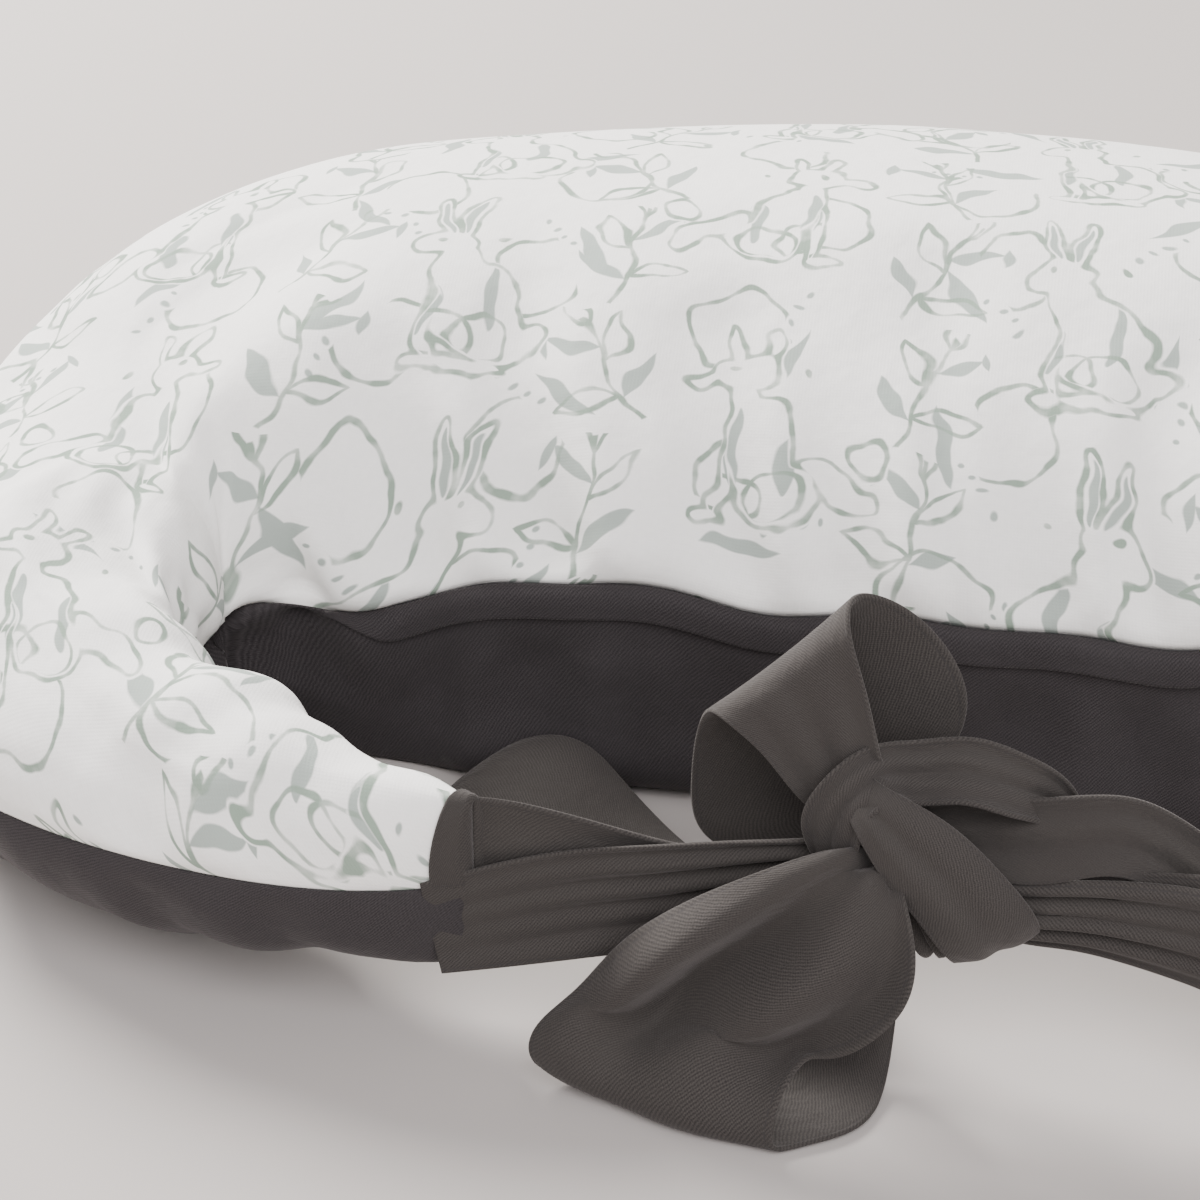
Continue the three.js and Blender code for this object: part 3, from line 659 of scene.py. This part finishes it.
tree.links.new(crumpled.outputs["Normal"], shader.inputs["Normal"])
shader.inputs["Roughness"].default_value = 0.9
shader.inputs["Sheen Weight"].default_value = 0.25
shader.inputs["Sheen Roughness"].default_value = 0.45
shader.inputs["Sheen Tint"].default_value = linear("#b0aaa8")
shader.inputs["Specular IOR Level"].default_value = 0.2
bottom_panel.data.materials.append(twill)
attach(bottom_panel, "pillow")
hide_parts("cover_bottom_panel")


# ---- zip ----
# A concealed nylon coil zip in the back wall of the opening. The bottom panel's edge is turned over
# it as an 11 mm facing strip of the same twill, so only the slider and its pull can be found by hand.
FACING, FACING_HALF = 11.0, 181.0
inner_run = run_across(bottom_grid)
rows = np.flatnonzero(np.abs(seam_run) < FACING_HALF) + 3  # closed_ends put three rows before them
strip_run = seam_run[rows - 3]
depth = np.linspace(0.3, FACING, 14)
facing = np.empty((len(rows), len(depth), 3))
facing_out = outward(bottom_grid, -1)
tapered = 0.12 + 0.88 * smooth((FACING_HALF - np.abs(strip_run)) / 24)
for i, row in enumerate(rows):
    for axis in range(3):
        facing[i, :, axis] = np.interp(depth * tapered[i], inner_run[row], bottom_grid[row, :, axis])
wavy = 0.75 + 0.25 * ripple(strip_run, [(41, 1, 0), (67, 0.8, 1)])[:, None]
proud = 0.5 + 1.3 * tapered[:, None] * smooth(depth / 5) * wavy
facing = facing + facing_out[rows][:, :1] * proud[..., None]
facing_flat = np.stack(np.broadcast_arrays(depth[None] + 40, strip_run[:, None]), -1)
facing_strip = grid_mesh("zip_facing_twill", facing, facing_flat, 1.4)
facing_strip.data.materials.append(twill)
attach(facing_strip, "pillow")
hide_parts("zip_facing_strip")


def plain_material(name):
    """A material with its shader, and the place on the piece in metres."""
    material = bpy.data.materials.new(name)
    material.use_nodes = True
    tree = material.node_tree
    where = put(tree, "ShaderNodeTexCoord").outputs["Object"]
    return material, tree, tree.nodes["Principled BSDF"], where


def patterned(tree, shader, pattern, dark, light, strength, height, roughness):
    """Mixes two colours by a pattern and raises the surface by it as well, by a height in metres."""
    mixed = put(tree, "ShaderNodeMix", {0: pattern, 6: linear(dark), 7: linear(light)}, data_type="RGBA")
    tree.links.new(mixed.outputs[2], shader.inputs["Base Color"])
    raised = put(tree, "ShaderNodeBump", {"Strength": strength, "Distance": height, "Height": pattern})
    tree.links.new(raised.outputs["Normal"], shader.inputs["Normal"])
    shader.inputs["Roughness"].default_value = roughness


# Woven polyester tape: close dark cords across it, with a dull sheen.
tape, tree, shader, where = plain_material("woven_polyester_tape")
cords = put(tree, "ShaderNodeTexWave", {"Vector": where, "Scale": 420.0},
            wave_type="BANDS", bands_direction="X")
patterned(tree, shader, cords.outputs["Fac"], "#272324", "#3c3636", 0.4, 0.0002, 0.6)

# Nylon coil: turns 1.5 mm apart, smooth and slightly shiny.
coil, tree, shader, where = plain_material("nylon_coil")
teeth = put(tree, "ShaderNodeTexWave", {"Vector": where, "Scale": 210.0},
            wave_type="BANDS", bands_direction="X")
patterned(tree, shader, teeth.outputs["Fac"], "#151314", "#383333", 0.8, 0.0005, 0.35)

# Lacquered zinc: a thin dark lacquer over cast metal, rubbed paler in small specks.
lacquer, tree, shader, where = plain_material("lacquered_zinc")
rubbed = put(tree, "ShaderNodeTexNoise", {"Vector": where, "Scale": 900.0, "Detail": 4.0})
specks = put(tree, "ShaderNodeMapRange", {"Value": rubbed.outputs["Fac"], "From Min": 0.58, "From Max": 0.72})
painted = put(tree, "ShaderNodeMix", {
    0: specks, 6: linear("#3a3536"), 7: linear("#6b6565")}, data_type="RGBA")
tree.links.new(painted.outputs[2], shader.inputs["Base Color"])
tree.links.new(put(tree, "ShaderNodeMapRange", {
    "Value": rubbed.outputs["Fac"], "To Min": 0.25, "To Max": 0.45}).outputs[0], shader.inputs["Roughness"])
shader.inputs["Metallic"].default_value = 0.6
for finish, nodes in (
        (tape, ("zip_tape_upper", "zip_tape_lower")), (coil, ("zip_coil_upper", "zip_coil_lower")),
        (lacquer, ("zip_stop_closed_end", "zip_stop_open_end", "zip_slider", "zip_pull"))):
    for node in nodes:
        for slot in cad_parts[node].material_slots:
            slot.material = finish


# ---- inner cushion ----
# Under the cover is a cushion of its own: undyed cotton casing, sewn from two crescents like the
# cover's, round loose crimped polyester fibre.
calico, tree, shader, place = cloth_material("undyed_cotton_casing")
plain = put(tree, "ShaderNodeTexNoise", {"Vector": place, "Scale": 0.4, "Detail": 3.0}, noise_dimensions="2D")
patterned(tree, shader, plain.outputs["Fac"], "#e3dece", "#f0ede3", 0.3, 0.0003, 0.9)
INNER_ROWS, INNER_COLUMNS, INNER_DEPTH = 160, 40, 13.0
inner_angles = np.linspace(-HORN_ANGLE, HORN_ANGLE, INNER_ROWS)[6:-6]
for name, side, node in (("casing_top", 1, "casing_top_panel"), ("casing_bottom", -1, "casing_bottom_panel")):
    grid = panel(INNER_ROWS, INNER_COLUMNS, side, INNER_DEPTH)[6:-6]
    grid[..., 2] = np.maximum(grid[..., 2], 4.0)
    piece = grid_mesh(name, grid, flat_place(grid, inner_angles), 0.6)
    piece.data.materials.append(calico)
    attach(piece, "pillow")
    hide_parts(node)

# Polyester fibre: white, matt and fluffy.
fluff, tree, shader, where = plain_material("crimped_polyester_fibre")
curls = put(tree, "ShaderNodeTexNoise", {"Vector": where, "Scale": 160.0, "Detail": 6.0})
patterned(tree, shader, curls.outputs["Fac"], "#e9e8e4", "#ffffff", 0.9, 0.003, 1.0)
top_half = panel(INNER_ROWS, INNER_COLUMNS, 1, INNER_DEPTH + 3)[8:-8]
under_half = panel(INNER_ROWS, INNER_COLUMNS, -1, INNER_DEPTH + 3)[8:-8]
body_ring = np.concatenate([top_half, under_half[:, -2:0:-1]], 1)
body_ring[..., 2] = np.maximum(body_ring[..., 2], 6.0)
middle_line = body_ring.mean(1, keepdims=True)
body_ring = np.concatenate([
    middle_line[:1] + (body_ring[:1] - middle_line[:1]) * 0.02, body_ring,
    middle_line[-1:] + (body_ring[-1:] - middle_line[-1:]) * 0.02])
swirl = ripple(np.arange(len(body_ring)) * 1.0, [(9, 0.4, 0), (23, 0.6, 1)])[:, None, None]
body_ring = np.concatenate([body_ring, body_ring[:, :1]], 1)
body_ring[1:-1] += swirl[1:-1] * normals_of(body_ring)[1:-1] * 0.5
filling = grid_mesh("fibre_filling_body", body_ring, body_ring[..., :2])
weld = bmesh.new()
weld.from_mesh(filling.data)
bmesh.ops.remove_doubles(weld, verts=weld.verts, dist=0.00002)
bmesh.ops.recalc_face_normals(weld, faces=weld.faces)
weld.to_mesh(filling.data)
weld.free()
filling.data.materials.append(fluff)
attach(filling, "pillow")
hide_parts("fibre_filling")


# ---- ties ----
# Each tie is a strip of the same twill, turned through into a flat tube of two layers, pressed,
# with a faint line of stitches. Its end is sewn in where the top and bottom panels meet at a horn.
KNOT = (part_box("bow_knot")[0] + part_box("bow_knot")[1]) / 2 / MM
KNOT = np.array([KNOT.x, KNOT.y, KNOT.z])
TIE_WIDTH = 74.0
TIE_THICKNESS = 1.5
TIE_STITCH = 2.0  # from the edge to the line of stitches
STITCH_DEPTH = 0.1
EDGE_ROUND = 1.2
LAP_ROWS = 14
# The ties' twill is a copy of the same weave, in lighter colours and a little olive: the lighter colours are painted
# light, for ties lit in front of the shaded lower wall.
lit_tie_twill = twill.copy()
lit_tie_twill.name = "olive_grey_twill_painted_light"
for mix, socket, colour in (
        (ribbed, 6, "#211e1e"), (ribbed, 7, "#474340"), (faded, 7, "#3d3a37"), (sewn_line, 7, "#353231")):
    lit_tie_twill.node_tree.nodes[mix.name].inputs[socket].default_value = linear(colour)


def curve(points, at):
    """A smooth curve through rows of numbers, taken at the given fractions of its length."""
    p = np.asarray(points, float)
    step = np.linalg.norm(np.diff(p[:, :6], axis=0), axis=1) ** 0.7 + 1e-6
    t = np.concatenate([[0], np.cumsum(step)])
    n = len(p)
    system, right = np.eye(n), np.zeros_like(p)
    for i in range(1, n - 1):
        system[i, i - 1 : i + 2] = step[i - 1], 2 * (step[i - 1] + step[i]), step[i]
        right[i] = 6 * ((p[i + 1] - p[i]) / step[i] - (p[i] - p[i - 1]) / step[i - 1])
    bend = np.linalg.solve(system, right)

    def value(q):
        i = np.clip(np.searchsorted(t, q) - 1, 0, n - 2)
        h, a, b = step[i][:, None], (t[i + 1] - q)[:, None], (q - t[i])[:, None]
        return (bend[i] * a**3 + bend[i + 1] * b**3) / (6 * h) + (p[i] / h - bend[i] * h / 6) * a + (
            p[i + 1] / h - bend[i + 1] * h / 6) * b

    fine = value(np.linspace(0, t[-1], 1500))
    middle = (fine[:, :3] + fine[:, 3:6]) / 2
    run = np.concatenate([[0], np.cumsum(np.linalg.norm(np.diff(middle, axis=0), axis=1))])
    return value(np.interp(np.asarray(at) * run[-1], run, np.linspace(0, t[-1], 1500))), run[-1]


def spread(first, last, count, ends):
    """Steps from first to last that lie closer together at both ends."""
    t = np.linspace(0, 1, count)
    return first + (last - first) * (t - ends * np.sin(2 * math.pi * t) / (2 * math.pi))


def strip(stops, folds, rows=120, columns=61, width=TIE_WIDTH):
    """A length of tie as a grid of points, and their places on the flat cloth. Each stop is its two
    edges, seen from the knot, then how far its middle bulges and how deep its lengthwise folds are.
    The folds are heights at even steps from one edge to the other."""
    line, length = curve(stops, np.linspace(0, 1, rows))
    left, right = line[:, None, :3] + KNOT, line[:, None, 3:6] + KNOT
    u = spread(-1, 1, columns, 0.6)
    crest, _ = curve([[k, 0, 0, k, 0, 0, h] for k, h in enumerate(folds)], np.linspace(0, 1, 400))
    height = np.interp(u, crest[:, 0] / (len(folds) - 1) * 2 - 1, crest[:, 6])
    grid = (left + right) / 2 + (right - left) / 2 * u[None, :, None]
    across = normals_of(grid)
    grid = grid + across * (line[:, None, 6:7] * (1 - u * u)[None, :, None])
    grid = grid + across * (line[:, None, 7:8] * height[None, :, None])
    flat = np.stack(np.broadcast_arrays(u[None] * width / 2, np.linspace(0, length, rows)[:, None]), -1)
    return grid, flat


def tie(name, lengths, body, *nodes):
    """Makes one piece from lengths of tie: two layers with pressed edges and a sunk stitching line."""
    points, places, faces, area = [], [], [], 0.0
    for grid, flat in lengths:
        rows, columns = grid.shape[:2]
        from_edge = flat[:1, -1:, :1] - np.abs(flat[:1, :, :1])
        half = TIE_THICKNESS / 2 * (1 - np.clip(1 - from_edge / EDGE_ROUND, 0, 1) ** 3)
        half = half - STITCH_DEPTH * np.exp(-(((from_edge - TIE_STITCH) / 0.5) ** 2))
        ends = np.sin(np.clip(np.linspace(0, 40, rows), 0, 1) * math.pi / 2)[:, None, None] * 0.9 + 0.1
        out = normals_of(grid) * np.maximum(half, 0.08) * ends * ends[::-1]
        ring = np.concatenate([grid + out, (grid - out)[:, ::-1]], 1)
        place = np.concatenate([flat, flat[:, ::-1]], 1)
        place = np.concatenate([place, np.abs(place[:1, :1, :1]) - np.abs(place[..., :1])], -1)
        base = len(points)
        faces += (quads(rows, 2 * columns, closed=True) + base).tolist()
        for row in (0, rows - 1):
            first = base + row * 2 * columns
            for c in range(columns - 1):
                quad = [first + c, first + 2 * columns - 1 - c, first + 2 * columns - 2 - c, first + c + 1]
                faces.append(quad if row == 0 else quad[::-1])
        points += ring.reshape(-1, 3).tolist()
        places += place.reshape(-1, 3).tolist()
        cells = np.cross(np.gradient(grid, axis=0), np.gradient(grid, axis=1))
        area += float(np.sum(np.linalg.norm(cells, axis=-1)))
    piece = cloth_mesh(name, np.array(points), faces, np.array(places, np.float32) * MM)
    piece.data.materials.append(lit_tie_twill)
    if body == "pillow":
        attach(piece, body)
    else:  # a loop's two ends are held in the knot; the piece only has its place applied to its points and is not attached to a body
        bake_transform(piece)
    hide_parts(*nodes)


HORN_TIP = sections(np.array([HORN_ANGLE]))[1][0]  # the middle of a horn's end, right side
TIP = np.array([HORN_TIP[0], HORN_TIP[1] + SHIFT, SEAM_HEIGHT[2]]) - KNOT
LEFT_TIP = np.array([-HORN_TIP[0], HORN_TIP[1] + SHIFT, SEAM_HEIGHT[2]]) - KNOT


def over_end(side):
    """The tie's sewn end, which laps slantwise over the printed panel's end and closes it."""
    step = 1 if (top_grid[-1, 0, 0] > 0) == (side > 0) else -1
    end, away = top_grid[::step], outward(top_grid, 1)[::step]
    back, lift = end[-4:-60:-1, ::2], away[-4:-60:-1, ::2]
    steps = np.linalg.norm(np.diff(back, axis=0), axis=-1)
    run = np.concatenate([np.zeros((1, back.shape[1])), np.cumsum(steps, 0)])
    share = run_across(back[:1])[0]
    reach = 0.6 + 7.5 * smooth(share / share[-1])
    lap = np.empty((LAP_ROWS,) + back.shape[1:])
    for c in range(back.shape[1]):
        for axis in range(3):
            lap[:, c, axis] = np.interp(
                np.linspace(reach[c], 0, LAP_ROWS), run[:, c], back[:, c, axis] + 0.9 * lift[:, c, axis])
    cap = end[-3:, ::2] + np.array([-side * 1.0, 0, 0])
    grid = np.concatenate([lap, cap])
    flat = np.stack(np.broadcast_arrays(
        (share - share[-1] / 2)[None], np.linspace(0, 22, len(grid))[:, None]), -1)
    return grid, flat


# The left tie's lower half runs straight to the knot; its upper part is folded in behind it.
left_band = [
    (LEFT_TIP[0] - 12, LEFT_TIP[1] - 8, -5, LEFT_TIP[0] - 7, LEFT_TIP[1] - 7, -35, 1.5, 0.1),
    (-102, -16, -1, -100, -16, -35, 1.5, 0.6),
    (-82, -14, 4, -80, -14, -31, 2, 1.2),
    (-60, -14, 8, -58, -13, -25, 2, 1.8),
    (-38, -13, 11, -36, -12, -16, 2, 2.2),
    (-18, -12, 13, -18, -11, -6, 2, 2.4),
    (-4, -8, 13, -4, -7, -2, 1, 2),
]
left_flap = [
    (LEFT_TIP[0] - 2, LEFT_TIP[1] + 1, 18, LEFT_TIP[0] - 10, LEFT_TIP[1] + 1, -12, 1, 0.4),
    (-98, -12, 16.5, -94, -12, -12, 1, 0.8),
    (-76, -10, 11, -76, -10, -10, 1, 1),
    (-58, -10, 7, -58, -9, -8, 1, 1),
    (-40, -9, 4, -40, -9, -6, 1, 1),
]
tie("tie_left_twill", [
    strip(left_band, [0, 0.8, -0.6, 1, -0.8, 0.9, -0.3, 0.8, -0.6, 0], 110, 61, 44),
    strip(left_flap, [0, 0.6, -0.3, 0.4, 0], 80, 31, 30),
    over_end(-1),
], "pillow", "tie_left")

right_band = [
    (TIP[0] + 8, TIP[1] - 7, -5, TIP[0] + 4, TIP[1] - 5.5, -33, 1.5, 0.1),
    (92, -10, 5, 94, -11, -27, 1.5, 1.2),
    (72, -7, 7, 74, -7, -22, 2, 1.8),
    (52, -6, 5, 52, -6, -18, 2, 2.2),
    (34, -6, 3, 36, -6, -17, 2, 2.2),
    (14, -4, 2, 14, -4, -12, 1, 2),
]
right_flap = [
    (TIP[0] + 4, TIP[1] + 1, 18, TIP[0] + 8, TIP[1] + 1, -12, 1, 0.4),
    (92, -8, 12, 92, -8, -12, 1, 0.8),
    (76, -3, 8, 76, -3, -10, 1, 1),
    (58, -2, 5, 58, -2, -8, 1, 1),
    (40, -2, 2, 40, -2, -6, 1, 1),
]
tie("tie_right_twill", [
    strip(right_band, [0, 0.8, -0.8, 0.5, -0.2, 0.9, -0.9, 0.4, -0.6, 0], 110, 61, 44),
    strip(right_flap, [0, 0.6, -0.3, 0.4, 0], 80, 31, 30),
    over_end(1),
], "pillow", "tie_right")


# ---- bow loops ----
# The ties' ends are tied in a bow: two wide soft loops, one standing over the knot and one fallen
# forward onto the floor. Each loop is one length of tie, spread open away from the knot.
upper_loop = [
    (-6, -8, 14, 6, -10, 20, 0, 1.5),
    (-20, -10, 22, -1, -12, 37, 0.5, 1.5),
    (-33, -8, 36, -7, -10, 59, 1, 0.8),
    (-44, -4, 43, -12, -7, 75, 1, 0.2),
    (-49, 4, 40, -12, 4, 78, 1, 0),
    (-53, 13, 28, -4, 14, 73, 2, 0),
    (-55, 18, 9, 9, 20, 60, 3, 0),
    (-52, 18, -7, 18, 20, 42, 3, 0.6),
    (-40, 14, -11, 16, 18, 29, 2, 1.2),
    (-20, 8, -6, 10, 12, 22, 1, 1.8),
    (-4, 2, 0, 4, 4, 12, 0, 1.5),
]
tie("bow_loop_upper_twill", [
    strip(upper_loop, [0, 0.7, -0.6, 0.5, -0.7, 0.6, 0], 170, 61),
], "loop_upper", "bow_loop_upper")

lower_loop = [
    (-4, -12, 10, 4, -12, 4, 0, 1.5),
    (-14, -25, 19, 6, -26, 9, 0, 2.2),
    (-32, -28, 12, 10, -32, 0, 0.5, 3.2),
    (-50, -29, 1, 10, -37, -15, 0, 8.5),
    (-67, -28, -15, -1, -38, -29, 1, 10),
    (-80, -25, -34, -14, -37, -39, 2, 7),
    (-90, -30, -44, -21, -47, -46, 3, 3),
    (-90, -31, -54, -22, -51, -57, 4, 0.6),
    (-77, -28, -59.5, -14, -47, -59.5, 0, 0),
    (-56, -22, -59, 0, -36, -59.5, 0, 0),
    (-36, -14, -52, 5, -18, -56, 0, 0.8),
    (-18, -8, -32, 6, -8, -36, 0, 1.5),
    (-6, -4, -8, 6, -4, -12, 0, 1.5),
]
tie("bow_loop_lower_twill", [
    strip(lower_loop, [-0.2, 0.9, 0.3, -1.0, -0.7, 0.3, 0.6, 0, -0.4, 0.5], 190, 71),
], "loop_lower", "bow_loop_lower")


# ---- knot and tails ----
# The bow's knot: one tie wraps round the other and lies across the front, pulled into folds. One
# tail goes over the right tie and down to the floor, the other into the opening to the left.
wrap_over = [
    (-12, -6, -6, -4, -10, -4, 0, 0.3),
    (-20, -15, 14, -7, -21, 12, 1, 0.8),
    (-21, -17, 26, -5, -23, 24, 2, 1.0),
    (-15, -16, 37, -2, -23, 31, 2, 1.0),
    (-6, -11, 43, 3, -19, 33, 2, 1.0),
    (6, -4, 42, 8, -13, 28, 2, 1.0),
    (20, 0, 42, 19, -12, 29, 2.5, 0.9),
    (34, 4, 36, 32, -8, 24, 2.5, 0.9),
    (47, 10, 24, 45, 5, 12, 2, 0.8),
    (54, 14, 8, 48, 12, -2, 1, 0.4),
]
wrap_across = [
    (-12, -8, 26, -6, -8, 34, 0, 0.3),
    (-8, -21, 26, 0, -18, 36, 1, 0.6),
    (0, -25, 14, 15, -20, 29, 2.5, 0.9),
    (9, -26, 3, 29, -18, 15, 3, 0.9),
    (17, -23, -10, 40, -13, -2, 2, 0.8),
    (20, -12, -20, 41, -5, -13, 1, 0.6),
    (14, 2, -20, 30, 6, -12, 0, 0.4),
]
under_folds = [
    (0, -18, 6, 14, -20, 8, 0, 0.6),
    (6, -18, -4, 20, -20, -4, 0, 1.5),
    (10, -15, -14, 24, -17, -13, 0, 1.8),
    (12, -6, -20, 24, -7, -19, 0, 1.5),
    (8, 6, -16, 20, 6, -14, 0, 1),
]
tie("bow_knot_twill", [
    strip(wrap_over, [0, 0.9, -0.4, 0.8, -0.6, 0.5, 0], 130, 51, 34),
    strip(wrap_across, [0, 0.5, 0.9, -0.5, 0.4, 0.6, 0], 90, 51, 40),
    strip(under_folds, [0, 1, -1, 1, -1, 1, -1, 0], 60, 61, 50),
], "pillow", "bow_knot")

right_tail = [
    (4, 0, 22, 8, -8, 2, 0, 1.5),
    (24, 0, 23, 24, -8, 3, 1.5, 1.4),
    (44, 0, 26, 43, -8, 4, 2, 1.2),
    (62, 3, 26, 59, -6, 7, 2.5, 1.2),
    (78, 9, 16, 74, -1, -2, 2, 1.2),
    (94, 16, 0, 86, 8, -20, 1, 1),
    (110, 26, -22, 96, 26, -42, 1, 1),
    (126, 36, -42, 106, 48, -56, 1, 0.5),
    (138, 44, -54, 112, 64, -58.5, 0, 0),
]
tie("tail_right_twill", [
    strip(right_tail, [0, 0.8, -0.5, 0.7, -0.2, 0], 120, 61),
], "pillow", "tie_tail_right")

left_tail = [
    (-4, 4, 4, -2, -2, -6, 0, 1.5),
    (-24, 20, -14, -34, 8, -26, 0, 1.5),
    (-46, 48, -40, -62, 20, -50, 1, 1.4),
    (-66, 74, -49, -86, 32, -58, 2, 1),
    (-86, 92, -42, -110, 44, -59, 3, 0.8),
    (-102, 100, -34, -132, 56, -59, 4, 0.5),
    (-120, 100, -37, -148, 66, -59, 3, 0.3),
    (-134, 94, -46, -154, 72, -59, 1, 0),
]
tie("tail_left_twill", [
    strip(left_tail, [0, 0.8, -0.5, 0.7, -0.2, 0], 120, 61),
], "pillow", "tie_tail_left")


# ---- floor and light ----
floor_mesh = bpy.data.meshes.new("floor")
floor_mesh.from_pydata([(-8, -4, 0), (8, -4, 0), (8, 14, 0), (-8, 14, 0)], [], [(0, 1, 2, 3)])
floor = placed("floor", floor_mesh)
paper = bpy.data.materials.new("pale_floor")
paper.use_nodes = True
shader = paper.node_tree.nodes["Principled BSDF"]
shader.inputs["Base Color"].default_value = linear("#aea8a4")
shader.inputs["Roughness"].default_value = 0.9
floor_mesh.materials.append(paper)

world = bpy.data.worlds.new("room")
bpy.context.scene.world = world
world.use_nodes = True
world.node_tree.nodes["Background"].inputs["Color"].default_value = linear("#e8e5e5")
world.node_tree.nodes["Background"].inputs["Strength"].default_value = 1.02


def lamp(name, place, aim, size, power, colour):
    """A round soft light, its size in metres and its power in watts."""
    light = bpy.data.lights.new(name, "AREA")
    light.shape = "DISK"
    light.size = size
    light.energy = power
    light.color = linear(colour)[:3]
    holder = placed(name, light)
    holder.location = place
    holder.rotation_euler = (Vector(aim) - Vector(place)).to_track_quat("-Z", "Y").to_euler()


lamp("window", (-1.5, 1.05, 1.5), (0, 0, 0.05), 1.2, 170, "#fffcf9")
lamp("room_fill", (0.6, -1.9, 1.9), (0, 0, 0.05), 2.4, 84, "#fdfbff")
